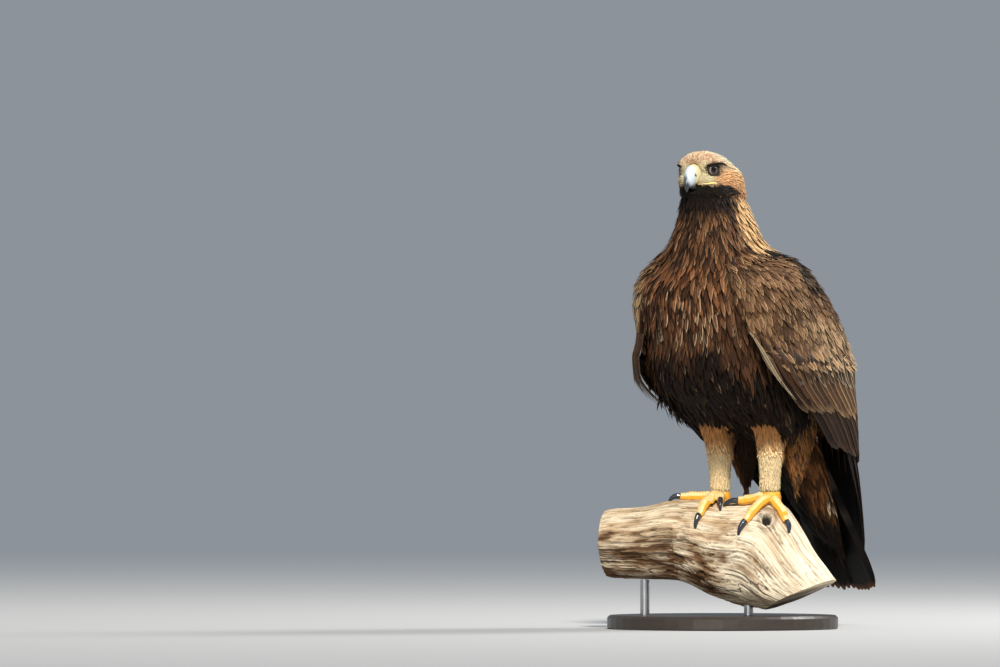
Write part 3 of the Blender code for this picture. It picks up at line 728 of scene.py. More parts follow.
def neck_markings(at):
    """Golden hackles behind and at the sides, dark with tan streaks in front, and black under the bill,
    partly dark feathers and partly painted shadow under the head.
    """
    behind = smooth(at.turn + 16 * (at.fine - 0.5) + 10 * (at.chance - 0.5), 66, 90)
    front = layered(
        plain("dark", at.points),
        ("umber", smooth(at.chance, 0.25, 0.6)),
        ("chestnut", smooth(at.chance, 0.74, 0.88) * 0.45),
    )
    nape = layered(
        plain("gold", at.points),
        ("chestnut", smooth(-at.z, -440, -388) * 0.25),
        ("umber", (1 - smooth(at.chance, 0.25, 0.42)) * 0.6),
    )
    tips = layered(
        plain("chestnut", at.points),
        ("umber", 0.35),
        ("buff", 0.15 + 0.75 * smooth(at.chance, 0.72, 0.92)),
        ("cream", behind * (0.35 + 0.6 * smooth(at.chance, 0.25, 0.5))),
        ("dark", (1 - smooth(at.chance, 0.25, 0.5)) * (1 - behind) * 0.8),
        ("bib_and_shadow", at.throat * 0.95),
    )
    # Soot over the shoulder is partly black scapulars and partly painted shade
    base = layered(mix(front * 0.84, nape, behind), ("bib_and_shadow", at.throat), ("soot", at.gloss))
    return base, layered(tips * (0.86 + 0.14 * behind)[:, None], ("dark", at.gloss))


def breast_markings(at):
    """Brown and chestnut with some tan tips, near black at the belly and flanks, partly their own dark
    feathers and partly painted shade under the body and wings, stronger on the bird's right.
    """
    # Darker low on the belly: partly dark feathers and partly painted shade under the body
    low = smooth(-at.z + 90 * (at.broad - 0.5) + 34 * (at.chance - 0.5), -318, -218)
    # Painted shade on the flanks under the wings, stronger on the bird's right side
    flank = np.where(at.x < 0, 0.95, 0.7) * smooth(at.turn, 30, 46) * (1 - smooth(at.z, 325, 362))
    shaded = np.maximum(low, flank)
    middle = smooth(at.z, 262, 292) * smooth(-at.z, -372, -338) * (1 - smooth(at.turn, 18, 44))
    base = layered(
        plain("umber", at.points),
        ("chestnut", smooth(at.broad, 0.40, 0.62) * (1 - shaded) * 0.6),
        ("soot", shaded * 0.97),
        ("dark", (1 - smooth(at.chance, 0.32, 0.50)) * 0.9 * (1 - shaded)),
    )
    edge = layered(
        base,
        ("chestnut", (0.2 + 0.6 * smooth(at.chance, 0.3, 0.6)) * (1 - shaded * 0.9)),
        ("pale", smooth(at.chance, 0.62, 0.8) * middle * 0.9),
        ("buff", smooth(at.chance, 0.86, 0.96) * (1 - low * 0.55) * 0.7),
    )
    return base, edge


def back_markings(at):
    base, _ = breast_markings(at)
    return layered(base, ("dark", 0.7)), layered(base, ("umber", 0.6))


def wing_markings(at):
    """Purple-brown lesser coverts, a pale buff band below them, black scapulars along the back."""
    band = smooth(-at.z, -318, -285) * smooth(at.turn, 70, 100)
    high = smooth(at.z + 70 * (at.broad - 0.5), 272, 312)
    scapular = smooth(at.turn + 14 * (at.fine - 0.5), 106, 118) * high * 0.75
    bend = smooth(-across_picture(at.x, at.y), 158, 170) * smooth(at.z, 262, 285) * (at.x < 0)
    base = layered(
        plain("covert", at.points),
        ("umber", at.fine * 0.75),
        ("dark", smooth(at.broad, 0.55, 0.8) * 0.5 + 0.35 * (1 - smooth(at.chance, 0.1, 0.3))),
        ("buff", band * 0.4 * smooth(at.chance, 0.3, 0.7)),
        ("soot", scapular * 0.93),
        ("buff", bend * 0.35),
        # The dark shoulder patch and streaks: partly black scapulars and partly painted shade
        ("soot", at.gloss * 0.96),
    )
    edge = layered(
        plain("buff", at.points),
        ("umber", (1 - smooth(at.chance, 0.35, 0.8)) * 0.75 * (1 - 0.7 * band)),
        ("pale", band * 0.6 + 0.2 * smooth(at.chance, 0.85, 0.95)),
        ("umber", scapular * 0.75),
        ("pale", bend * 0.7),
        ("dark", at.gloss * (0.95 - 0.5 * smooth(at.chance, 0.7, 0.9))),
    )
    return base, edge


def thigh_markings(at):
    """Rusty above and tan in front; black between the legs is painted shade, black under the belly is partly
    dark feathers and partly painted shade, and the darker back of each thigh is partly brown streaks and
    partly painted shade.
    """
    # Painted shade between the legs and behind them
    inward = (1 - smooth(np.abs(at.x), 22, 34)) * smooth(at.y, -30, 0)
    behind = (1 - smooth(np.abs(at.x), 42, 56)) * smooth(at.y, 8, 30)
    inner = np.maximum(inward, behind)
    ahead = 1 - smooth(at.y, -6, 14)
    base = layered(
        plain("rust", at.points),
        ("cheek", 0.35 * ahead),
        ("tan", smooth(-at.z, -118, -72) * ahead),
        ("soot", np.maximum(smooth(at.z, 122, 142) * 0.9, inner * 0.96)),
        # Darker towards the back: partly brown streaks and partly painted shade
        ("dark", (0.35 + 0.5 * (1 - smooth(at.chance, 0.3, 0.6))) * smooth(at.y, 0, 26)),
    )
    return base, layered(base, ("gold", 0.35 * (1 - inner)))


def shank_markings(at):
    base = layered(
        plain("tan", at.points),
        ("rust", smooth(at.z, 56, 84) * 0.10 + 0.08 * at.fine),
        ("rust", smooth(at.y, 4, 18) * 0.6),
    )
    return base, layered(base, ("cream", 0.7))


def undertail_markings(at):
    """Rusty, with a cream streak on each side; the black below and on the bird's right is painted shade."""
    lower = smooth(-at.z + 18 * (at.fine - 0.5), -14, 18)
    # Painted shade: black low down and on the bird's right side
    black = np.maximum(lower, 1 - smooth(at.x, -6, 22)) * 0.95
    away = np.abs(across_picture(np.abs(at.x), at.y) - 134)
    streak = (1 - smooth(away, 3, 7)) * smooth(at.z, -4, 6) * smooth(at.chance, 0.2, 0.4)
    under = layered(plain("rust", at.points), ("dark", 0.25 + 0.6 * (1 - smooth(at.chance, 0.35, 0.7))))
    base = layered(under, ("soot", black), ("cream", streak * 0.8))
    return base, layered(under, ("gold", 0.30 * smooth(at.chance, 0.5, 0.9)), ("soot", black))


REGION_MARKINGS = {
    HEAD: head_markings,
    NECK: neck_markings,
    BREAST: breast_markings,
    WING: wing_markings,
    THIGH: thigh_markings,
    SHANK: shank_markings,
    UNDERTAIL: undertail_markings,
    BACK: back_markings,
}


def markings(points, regions, chance):
    """Body colour and edge colour of the coat at each point. chance is one random number a feather."""
    x, y, z = points.T
    turn, _ = turns_and_reach(points)
    at = SimpleNamespace(points=points, x=x, y=y, z=z, turn=turn, chance=chance)
    at.broad = patches(points, 34, 1)
    at.fine = patches(points, 9, 2)
    at.throat = throat_and_shadow_share(points, turn, chance, at.fine)
    at.gloss = dark_shoulder_and_shade(points)
    base, edge = np.empty_like(points), np.empty_like(points)
    for region, marked in REGION_MARKINGS.items():
        chosen = regions == region
        if chosen.any():
            first, second = marked(at)
            base[chosen], edge[chosen] = first[chosen], second[chosen]
    return base, edge


# Feather vanes


def unit(vectors):
    return vectors / (np.linalg.norm(vectors, axis=2, keepdims=True) + 1e-12)


def vane_points(path, normals, halves, across, camber, twist):
    """The points of all vanes, (feather, step, across, 3), curved down towards both edges."""
    ahead = unit(np.gradient(path, axis=1))
    side = unit(np.cross(ahead, normals))
    normal = np.cross(side, ahead)
    c, s = np.cos(twist)[:, None, None], np.sin(twist)[:, None, None]
    side, normal = side * c + normal * s, normal * c - side * s
    u = np.linspace(-1, 1, across)
    drop = -camber * u**2 + camber * 0.35
    widths = halves[:, :, None, None] * u[None, None, :, None]
    drops = halves[:, :, None, None] * drop[None, None, :, None]
    return path[:, :, None, :] + side[:, :, None, :] * widths + normal[:, :, None, :] * drops


def vane_faces(count, steps, across):
    """Corners of all faces in turn, and corners in each face: rows of quads and two end caps a vane."""
    index = np.arange(steps * across).reshape(steps, across)
    quads = []
    for low, high in zip(index, index[1:]):
        quads += [(low[a], low[a + 1], high[a + 1], high[a]) for a in range(across - 1)]
        quads.append((low[0], high[0], high[-1], low[-1]))
    one = np.concatenate([np.ravel(quads), index[0, ::-1], index[-1]])
    loops = one + np.arange(count)[:, None] * steps * across
    return loops.ravel(), np.tile([4] * len(quads) + [across] * 2, count)


def unwrap_vanes(mesh, loops, shape, homes, patch):
    """Two maps: Vane runs across and along each vane, and OFBake gives each vane a patch of its own."""
    count, steps, across = shape
    u = np.linspace(-1, 1, across)
    vane_uv = np.empty((count, steps, across, 2))
    vane_uv[..., 0] = (u + 1) / 2
    vane_uv[..., 1] = np.linspace(0, 1, steps)[None, :, None]
    bake_uv = homes[:, None, None, :] + (vane_uv - 0.5) * np.array(patch)
    bulge = np.zeros((count, len(loops) // count, 2))
    bulge[:, -2 * across : -across, 1] = 0.12 * (1 - u**2)[::-1]
    bulge[:, -across:, 1] = -0.12 * (1 - u**2)
    for name, values, size in (("Vane", vane_uv, 1.0), ("OFBake", bake_uv, np.array(patch))):
        layer = mesh.uv_layers.new(name=name)
        corners = values.reshape(-1, 2)[loops] + bulge.reshape(-1, 2) * size
        layer.data.foreach_set("uv", corners.astype(np.float32).ravel())
    mesh.uv_layers["Vane"].active = True


def vane_mesh(name, path, normals, halves, colours, homes, twist, camber=0.18, patch=(0.003, 0.003)):
    """Closed thin vanes as one mesh. path and normals are (feather, step, 3) and halves (feather, step).

    colours is (feather, step, across, 3) and homes the place of each root on the unwrap.
    """
    shape = colours.shape[:3]
    points = vane_points(path, normals, halves, shape[2], camber, twist)
    loops, sizes = vane_faces(*shape)
    mesh = bpy.data.meshes.new(name)
    mesh.vertices.add(points.size // 3)
    mesh.vertices.foreach_set("co", points.astype(np.float32).ravel())
    mesh.loops.add(len(loops))
    mesh.loops.foreach_set("vertex_index", loops.astype(np.int32))
    mesh.polygons.add(len(sizes))
    starts = np.concatenate([[0], np.cumsum(sizes)[:-1]])
    mesh.polygons.foreach_set("loop_start", starts.astype(np.int32))
    mesh.update(calc_edges=True)
    mesh.validate()
    paint_points(mesh, colours.reshape(-1, 3))
    unwrap_vanes(mesh, loops, shape, homes, patch)
    return mesh


def vane_colours(base, edge, steps, across, chance, edge_width=0.62, tip=0.78, root_dark=0.55, shaft=0.7):
    """Colour of each point of each vane: a dark root and shaft, and a paler edge and tip."""
    t = np.linspace(0, 1, steps)[None, :, None]
    u = np.abs(np.linspace(-1, 1, across))[None, None, :]
    rim = np.maximum(smooth(u, edge_width, 1.0), smooth(t, tip, 1.0)) * np.ones((len(base), 1, 1))
    colours = mix(base[:, None, None, :], edge[:, None, None, :], rim)
    shade = root_dark + (1 - root_dark) * smooth(t, 0.15, 0.6)
    shade = shade * (1 - (1 - shaft) * smooth(-u, -0.3, -0.05))
    vary = (0.84 + 0.32 * chance)[:, None, None]
    return colours * (shade * vary)[..., None]


# Where the skin's normal turns away by more than this cosine, a feather flies straight on
EDGE_TURN = 0.25
# How closely a feather keeps to its height over the skin
CLING = 0.35


def walk(tree, root, normal, guide, length, lifts, cling):
    """A feather's path over the skin from its root, as points and normals.

    It flies straight on where the skin turns away under it, at an edge.
    """
    direction = guide - normal * (guide.dot(normal) * min(1.0, cling / CLING))
    if direction.length < 1e-6:
        return None
    direction.normalize()
    point = root + normal * lifts[0]
    path, normals = [point.copy()], [normal.copy()]
    step = length / (len(lifts) - 1)
    for lift in lifts[1:]:
        point = point + direction * step
        near, outward, _, _ = tree.find_nearest(point)
        if outward.dot(normals[-1]) > EDGE_TURN:
            height = (point - near).dot(outward)
            if height < lift:
                point = point + outward * min(lift - height, step * 0.9)
            else:
                point = point - outward * min((height - lift) * cling, step * 0.3)
            turned = normals[-1] + outward * 0.8
        else:
            turned = normals[-1].copy()
        direction = (point - path[-1]).normalized()
        turned = (turned - direction * turned.dot(direction)).normalized()
        path.append(point.copy())
        normals.append(turned)
    return path, normals


def spread_out(points, spacing):
    """Indices of the points that keep their spacing from all those kept before them."""
    cell = spacing.max()
    around = list(itertools.product((-1, 0, 1), repeat=3))
    grid, kept = {}, []
    for i, (x, y, z) in enumerate(points.tolist()):
        a, b, c = int(x // cell), int(y // cell), int(z // cell)
        near = (q for da, db, dc in around for q in grid.get((a + da, b + db, c + dc), ()))
        limit = spacing[i] * spacing[i]
        if all((x - q[0]) ** 2 + (y - q[1]) ** 2 + (z - q[2]) ** 2 >= limit for q in near):
            grid.setdefault((a, b, c), []).append((x, y, z))
            kept.append(i)
    return kept


def scatter_roots(mesh, keep, spacing_of, tries):
    """Points on a surface, evenly random and no closer than the spacing at each."""
    mesh.calc_loop_triangles()
    triangles = np.array([t.vertices for t in mesh.loop_triangles])
    co = positions(mesh)
    a, b, c = (co[triangles[:, i]] for i in range(3))
    cross = np.cross(b - a, c - a)
    area = np.linalg.norm(cross, axis=1)
    middle = local_of((a + b + c) / 3)
    weight = area * keep(middle) / np.maximum(spacing_of(middle), 0.5) ** 2
    chosen = RNG.choice(len(triangles), tries, p=weight / weight.sum())
    r1, r2 = RNG.random(tries), RNG.random(tries)
    flip = r1 + r2 > 1
    r1[flip], r2[flip] = 1 - r1[flip], 1 - r2[flip]
    points = a[chosen] + (b - a)[chosen] * r1[:, None] + (c - a)[chosen] * r2[:, None]
    normals = cross[chosen] / area[chosen][:, None]
    kept = spread_out(points, spacing_of(local_of(points)) * MM)
    return points[kept], normals[kept]


def unwrap_home(local):
    """The place of each root on a wrap round the body: turn across and height upward."""
    turn = np.arctan2(local[:, 0], -(local[:, 1] + 40))
    homes = np.stack([turn, local[:, 2]], axis=1)
    span = homes.max(axis=0) - homes.min(axis=0) + 1e-6
    return 0.02 + 0.96 * (homes - homes.min(axis=0)) / span


PROFILES = {
    "round": ((0, 0.30), (0.2, 0.72), (0.5, 1.0), (0.78, 0.90), (0.92, 0.58), (1, 0.10)),
    "pointed": ((0, 0.35), (0.2, 0.8), (0.45, 1.0), (0.7, 0.82), (0.88, 0.48), (1, 0.05)),
    "lance": ((0, 0.45), (0.25, 0.9), (0.5, 1.0), (0.75, 0.66), (0.9, 0.34), (1, 0.04)),
    "flight": ((0, 0.35), (0.12, 0.8), (0.4, 1.0), (0.85, 0.96), (0.95, 0.70), (1, 0.12)),
    "primary": ((0, 0.35), (0.15, 0.85), (0.5, 1.0), (0.8, 0.78), (0.93, 0.50), (1, 0.06)),
}


def profile(name, steps):
    rows = np.array(PROFILES[name])
    return np.interp(np.linspace(0, 1, steps), rows[:, 0], rows[:, 1])


def head_spacing(points):
    _, forward, up = head_places(points)
    return np.interp(forward - 0.3 * up, [-70, -40, 0, 16], [4.2, 3.2, 2.2, 1.5])


def even(spacing):
    """A spacing that is the same everywhere."""
    return lambda points: np.full(len(points), spacing)


def by_height(heights, spacings):
    """A spacing that changes with height."""
    return lambda points: np.interp(points[:, 2], heights, spacings)


# The lowest root of the small wing coverts
WING_COVERTS_END = 228
NECK_SPACING = by_height((393, 450, 486), (6.2, 4.8, 3.2))
WING_SPACING = by_height((212, 380), (8.0, 5.6))
THIGH_SPACING = by_height((60, 150), (4.0, 6.0))
# Spacing is in millimetres, length and half width are in spacings, and tries is the number of roots tried
Coat = namedtuple("Coat", "label spacing length half rise steps across outline tries")
COATS = {
    HEAD: Coat("feathers_head", head_spacing, 3.8, 0.60, 1.3, 4, 3, "lance", 90000),
    NECK: Coat("feathers_neck", NECK_SPACING, 6.4, 0.56, 5.0, 6, 5, "lance", 40000),
    BREAST: Coat("feathers_breast", even(6.6), 5.6, 0.60, 5.0, 6, 5, "pointed", 50000),
    WING: Coat("feathers_wing_coverts", WING_SPACING, 4.2, 0.66, 3.2, 6, 5, "pointed", 50000),
    THIGH: Coat("feathers_thighs", THIGH_SPACING, 4.6, 0.56, 2.6, 6, 5, "lance", 30000),
    SHANK: Coat("feathers_shanks", even(2.5), 4.0, 0.55, 0.9, 4, 3, "lance", 30000),
    UNDERTAIL: Coat("feathers_undertail", even(6.4), 7.0, 0.70, 4.0, 6, 5, "lance", 20000),
    BACK: Coat("feathers_back", even(9.0), 4.2, 0.85, 4.0, 6, 5, "round", 10000),
}
# How far back the feathers of a region lie for each step down
BACKWARD = {WING: 0.42, BACK: 0.42, THIGH: 0.22, UNDERTAIL: 0.50}
# How bright the coat of a region is, and its feathers' roots against their tips
BRIGHTNESS = {
    HEAD: (1.27, 0.75),
    NECK: (1.08, 0.45),
    BREAST: (1.1, 0.45),
    THIGH: (1.2, 0.6),
    SHANK: (1.3, 0.95),
}


def covers_face(path):
    """Whether a feather's path crosses an eye's opening or the place of the bill."""
    for side in (1, -1):
        centre, axis = eye_centre(side) + FEET, eye_axis(side)
        for offset in (point - centre for point in path):
            if offset.length < EYE_CLEAR and offset.normalized().dot(axis) > math.cos(EYE_OPENING):
                return True
    forward, across = head_frame()
    for offset in ((point - FEET - EYES_MIDDLE) / MM for point in path):
        if offset.dot(forward) > 19 and abs(offset.dot(across)) < 14 and -26 < offset.z < 9:
            return True
    return False


def guides(local, region):
    """Direction in which the coat lies at each root."""
    x, y, z = local.T
    guide = np.tile((0.0, 0.0, -1.0), (len(local), 1))
    if region == HEAD:
        forward, _ = head_frame()
        _, ahead, up = head_places(local)
        drop = 0.15 + 1.3 * smooth(-ahead, 10, 62) + 0.5 * smooth(-up, 12, 32)
        return guide * drop[:, None] - np.array(forward)
    if region == BREAST:
        guide[:, 0] = 0.12 * np.sign(x) * smooth(np.abs(x), 5, 60)
        guide[:, 1] = 0.25 * smooth(-z, -260, -150)
    if region in (BREAST, NECK):
        guide[:, 1] += 0.35 * smooth(z, 380, 400) * smooth(-z, -430, -400) * (y > -60)
    else:
        guide[:, 1] = BACKWARD.get(region, 0)
    return guide


def shaped_lengths(local, region, lengths):
    """Feather lengths in metres and how loose each hangs, long and loose at the flanks."""
    x, y, z = local.T
    if region == WING:
        directions, _ = turns_and_reach(local)
        return lengths, smooth(-z, -272, -230) * (2.2 + 1.0 * (1 - smooth(directions, 60, 105)))
    if region == THIGH:
        lengths = lengths * (1 - 0.55 * smooth(-z, -112, -76) * (1 - smooth(y, -4, 10)))
    if region != BREAST:
        return lengths, np.zeros(len(local))
    directions, _ = turns_and_reach(local)
    over_leg = (np.abs(np.abs(x) - 54) < 32) & (y < 30) & (directions < 38)
    lengths = np.where(over_leg, np.minimum(lengths, np.maximum(12, z - 110) * MM), lengths)
    flank = smooth(directions, 28, 42) * (1 - smooth(directions, 74, 90))
    varied = 0.7 + 0.3 * RNG.random(len(local))
    loose = smooth(-z, -272, -228) * flank * varied * (0.4 + 0.6 * smooth(z, 140, 190))
    return lengths * (1 + 0.5 * loose), loose


def coat_paths(region, tree, points, normals):
    """Paths, normals and half widths of the feathers of a region, and the numbers of their roots."""
    kind = COATS[region]
    local = local_of(points)
    guide = guides(local, region)
    gaps = kind.spacing(local)
    jitter = RNG.normal(0, 1, (len(points), 3))
    shape = profile(kind.outline, kind.steps)
    rise_shape = np.linspace(0, 1, kind.steps) ** 0.8
    lengths, loose = shaped_lengths(local, region, gaps * kind.length * (1 + 0.16 * jitter[:, 0]) * MM)
    made = []
    for i in range(len(points)):
        half = gaps[i] * kind.half * (1 + 0.08 * jitter[i, 1]) * MM
        lifts = (-0.8 + (kind.rise * (1 + loose[i]) + 0.8) * rise_shape * (1 + 0.22 * jitter[i, 2])) * MM
        bend = Vector(guide[i]) + Vector((jitter[i, 1], jitter[i, 2], jitter[i, 0])) * 0.07
        cling = max(0.03, CLING - 0.30 * loose[i])
        walked = walk(tree, Vector(points[i]), Vector(normals[i]), bend, lengths[i], lifts, cling)
        if walked and not (region == HEAD and covers_face(walked[0])):
            made.append((*walked, shape * half, i))
    return (np.array(part) for part in zip(*made))


def coat(region, mesh, tree, material):
    """The small feathers of one region of the body."""
    kind = COATS[region]
    lowest = WING_COVERTS_END if region == WING else -math.inf

    def covered(places):
        return (regions_of(places) == region) & (places[:, 2] > lowest)

    points, normals = scatter_roots(mesh, covered, kind.spacing, kind.tries)
    chance = RNG.random(len(points))
    path, turned, halves, kept = coat_paths(region, tree, points, normals)
    local, chance = local_of(points)[kept], chance[kept]
    base, edge = markings(local, np.full(len(kept), region), chance)
    bright, root_dark = BRIGHTNESS.get(region, (1.0, 0.55))
    colours = vane_colours(base, edge, kind.steps, kind.across, chance, root_dark=root_dark)
    colours = np.minimum(colours * bright, 0.95)
    twist = RNG.normal(0, 0.10, len(kept))
    mesh = vane_mesh(kind.label, path, turned, halves, colours, unwrap_home(local), twist)
    return add_piece(kind.label, mesh, material)


# A tier of wing feathers. tips are the heights of the first and the last tip, front and back the root's and
# the tip's direction of the first and the last feather. rise is over the outline, and stack is added for each
# next feather. spread varies the tips, and flare is how far they stand off
Tier = namedtuple("Tier", "count root tips front back half rise stack outline palette edge spread flare")
BLACK, BROWN = ("soot", "dark"), ("dark", "umber")
TIERS = {
    "primary": Tier(
        9, 96, (-44, -120), (100, 114), (162, 158), 11.5, -5.0, 1.1, "primary", BLACK, "dark", 5, 0
    ),
    "secondary": Tier(
        16, 205, (84, 36), (66, 84), (166, 167), 12.0, 0.0, 0.12, "flight", BLACK, "covert", 6, 0
    ),
    "greater": Tier(
        22, 240, (142, 118), (52, 66), (167, 168), 8.8, 1.6, 0.05, "flight", BROWN, "buff", 7, 0
    ),
    "median": Tier(
        30, 240, (196, 166), (46, 57), (166, 167), 7.0, 2.8, 0.04, "pointed", BROWN[::-1], "pale", 10, 0
    ),
    "edge": Tier(
        3, 268, (158, 146), (43, 58), (52, 72), 2.9, 3.4, 0.3, "pointed", BROWN, "pale", 3, 5
    ),
    "flank": Tier(
        20, 266, (136, 184), (34, 38), (62, 61), 6.0, 2.0, 0.1, "pointed", BROWN, "buff", 12, 19
    ),
}
# The tiers of one wing only: 1 is the left wing and -1 the right one
ONE_SIDED = {"edge": 1, "flank": -1}
STRIPS = 10


def between(pair, share):
    return pair[0] + (pair[1] - pair[0]) * share


def tier_vanes(name, steps):
    """Paths, normals, half widths and colours of one tier of the left wing, in the bird's frame."""
    tier = TIERS[name]
    count = tier.count
    path, normals = np.empty((count, steps, 3)), np.empty((count, steps, 3))
    halves, bases, edges = np.empty((count, steps)), np.empty((count, 3)), np.empty((count, 3))
    shape = profile(tier.outline, steps)
    for i in range(count):
        share = i / (count - 1)
        root_direction = between((tier.front[0], tier.back[0]), share) + RNG.uniform(-0.8, 0.8)
        tip_direction = between((tier.front[1], tier.back[1]), share) + RNG.uniform(-1.4, 1.4)
        reach = min(1.0, share * 1.15) if name == "primary" else share
        tip_height = between(tier.tips, reach) + RNG.uniform(-tier.spread, tier.spread)
        for k in range(steps):
            along = k / (steps - 1)
            height = between((tier.root, tip_height), along)
            direction = between((root_direction, tip_direction), along)
            out = min(1.0, along * 3.2)
            lift = (tier.rise + tier.stack * i) * out - 5.0 * (1 - out) + tier.flare * along * along
            path[i, k] = envelope_point(direction, height, lift)
            normals[i, k] = envelope_normal(direction, height)
        halves[i] = shape * tier.half * RNG.uniform(0.88, 1.08) * MM
        bases[i] = mix(PAINTS[tier.palette[0]], PAINTS[tier.palette[1]], RNG.random())
        # Edges grow paler towards the back of each tier: partly the feathers' pale edges and partly painted
        # light on the lit back of the wing
        bright = min(1.0, RNG.random() * 0.5 + 0.6 * float(smooth(share, 0.25, 0.6)))
        bright = float(i == 0) if name == "edge" else bright
        edges[i] = mix(PAINTS["dark"], PAINTS[tier.edge], bright)
        spill = 0.45 if bright == 1.0 and name == "edge" else 0.12 * bright
        bases[i] = mix(bases[i], edges[i], spill) * 0.74
    return path, normals, halves, bases, edges


def strip_homes(count):
    """A strip of the map for each long feather, in rows."""
    rows = math.ceil(count / STRIPS)
    index = np.arange(count)
    homes = np.stack([(index % STRIPS + 0.5) / STRIPS, (index // STRIPS + 0.5) / rows], axis=1)
    return 0.01 + 0.98 * homes, (0.94 / STRIPS, 0.94 / rows)


def wing_feathers(side, material):
    """All the long feathers of one folded wing."""
    steps, across = 14, 13
    tiers = [name for name in TIERS if ONE_SIDED.get(name, side) == side]
    made = zip(*(tier_vanes(name, steps) for name in tiers))
    path, normals, halves, bases, edges = (np.concatenate(part) for part in made)
    path[..., 0] *= side
    normals[..., 0] *= side
    path += np.array(FEET)
    chance = RNG.random(len(path))
    colours = vane_colours(bases, edges, steps, across, chance, 0.62, 0.86, 0.8, 0.6)
    homes, patch = strip_homes(len(path))
    label = sided("feathers_wing", side)
    twist = np.full(len(path), 0.10 * side)
    mesh = vane_mesh(label, path, normals, halves, colours, homes, twist, 0.12, patch)
    return add_piece(label, mesh, material)


def tail_feathers(material):
    """Twelve tail feathers in a nearly closed fan, the middle pair on top, grey-mottled above a black end."""
    down, side, back = tail_directions()
    count, steps, across = 12, 30, 7
    path, normals, halves = np.empty((count, steps, 3)), np.empty((count, steps, 3)), np.empty((count, steps))
    shape = profile("flight", steps)
    for i in range(count):
        spread = (i - 5.5) / 5.5
        root = TAIL_ROOT + side * (spread * 0.020) + back * (0.006 - abs(spread) * 0.006)
        tip = TAIL_TIP + side * (spread * (TAIL_TIP_HALF + 0.009)) + back * (0.004 - abs(spread) * 0.012)
        tip += down * (RNG.uniform(-0.002, 0.002) - 0.010 * spread * spread)
        for k in range(steps):
            path[i, k] = root.lerp(tip, k / (steps - 1))
            normals[i, k] = (back + side * (0.1 * spread)).normalized()
        halves[i] = shape * 0.0155
    path += np.array(FEET)
    chance = RNG.random(count)
    bases, edges = plain("tail", path), plain("soot", path)
    colours = vane_colours(bases, edges, steps, across, chance, 0.75, 0.95, 0.8, 0.6)
    bars = patches(path.reshape(-1, 3) / MM * np.array((1.0, 1.0, 2.2)), 16, 6).reshape(count, steps, 1)
    t = np.linspace(0, 1, steps)[None, :, None]
    mottled = smooth(bars, 0.5, 0.62) * (1 - smooth(t, 0.62, 0.74)) * 0.18
    colours = layered(colours, ("grey", mottled), ("rust", smooth(t, 0.965, 1.0) * 0.7))
    homes, patch = strip_homes(count)
    twist = np.linspace(-1, 1, count) * 0.10
    mesh = vane_mesh("feathers_tail", path, normals, halves, colours, homes, twist, 0.10, patch)
    return add_piece("feathers_tail", mesh, material)


# Bill, eyes and feet


def beak_piece(name, table, colour_of, material, count, rings):
    """A smooth horn shape through the same sections as the solid."""
    forward, side = head_frame()
    rows = numbered(table)
    made = []
    for k in range(rings + 1):
        along, up, half_width, half_height, lean = table_at(rows, (len(table) - 1) * k / rings)
        lean = math.radians(lean)
        upward = Vector((0, 0, math.cos(lean))) + forward * math.sin(lean)
        middle = head_point(0, along, up)
        made.append(place(oval_ring(middle, side, upward, half_width * MM, half_height * MM, count, 2.0)))
    mesh = loft_mesh(name, made)
    paint_points(mesh, colour_of(local_of(positions(mesh))))
    return add_piece(name, mesh, material)


def tinted_material(name, roughness, specular, coat_weight=0.0, grain=0.0, grain_scale=400.0):
    """The stored colours with a little noise, and bumps where grain says how strong they are."""
    graph = Graph(name, roughness, specular)
    graph.feed(graph.shader, {"Coat Weight": coat_weight, "Coat Roughness": 0.08})
    texture = graph.noise(grain_scale, 5)
    graph.tint(graph.scaled(texture, 0.3, 0.85))
    if grain:
        graph.bump(texture, grain, 0.0005)
    return graph.material


def nostril(side, forward, up):
    """The dark slit of each nostril, where cere and bill meet."""
    inside = ((forward - 30.0 - 0.3 * (up + 8.8)) / 2.0) ** 2 + ((up + 8.8) / 2.4) ** 2
    return (1 - smooth(inside, 0.6, 1.3)) * (np.abs(side) > 4)


def upper_beak_colours(local):
    side, forward, up = head_places(local)
    tip = smooth(forward - up * 0.8, 54, 64)
    # Painted shade: the bird's right side of the bill, below its top, is painted dark horn; the dark tip is
    # the bill's own colour
    ridge = smooth(-up, 3, 15) * (1 - smooth(side, -0.5, 5.0)) * 0.9
    return layered(
        plain("bill", local),
        ("wax", 0.35 * smooth(-forward, -30, -24)),
        ("horn", np.clip(np.maximum(tip, ridge), 0, 1)),
        ("pupil", nostril(side, forward, up)),
    )


def cere_colours(local):
    side, forward, up = head_places(local)
    return layered(
        plain("wax", local),
        ("yellow", smooth(-up, 17, 25) * 0.5),
        ("bill", smooth(forward + 0.1 * up, 26, 30) * 0.8),
        ("pupil", nostril(side, forward, up)),
    )


def lower_beak_colours(local):
    _, forward, _ = head_places(local)
    return layered(plain("olive", local), ("horn", smooth(forward, 18, 30)))


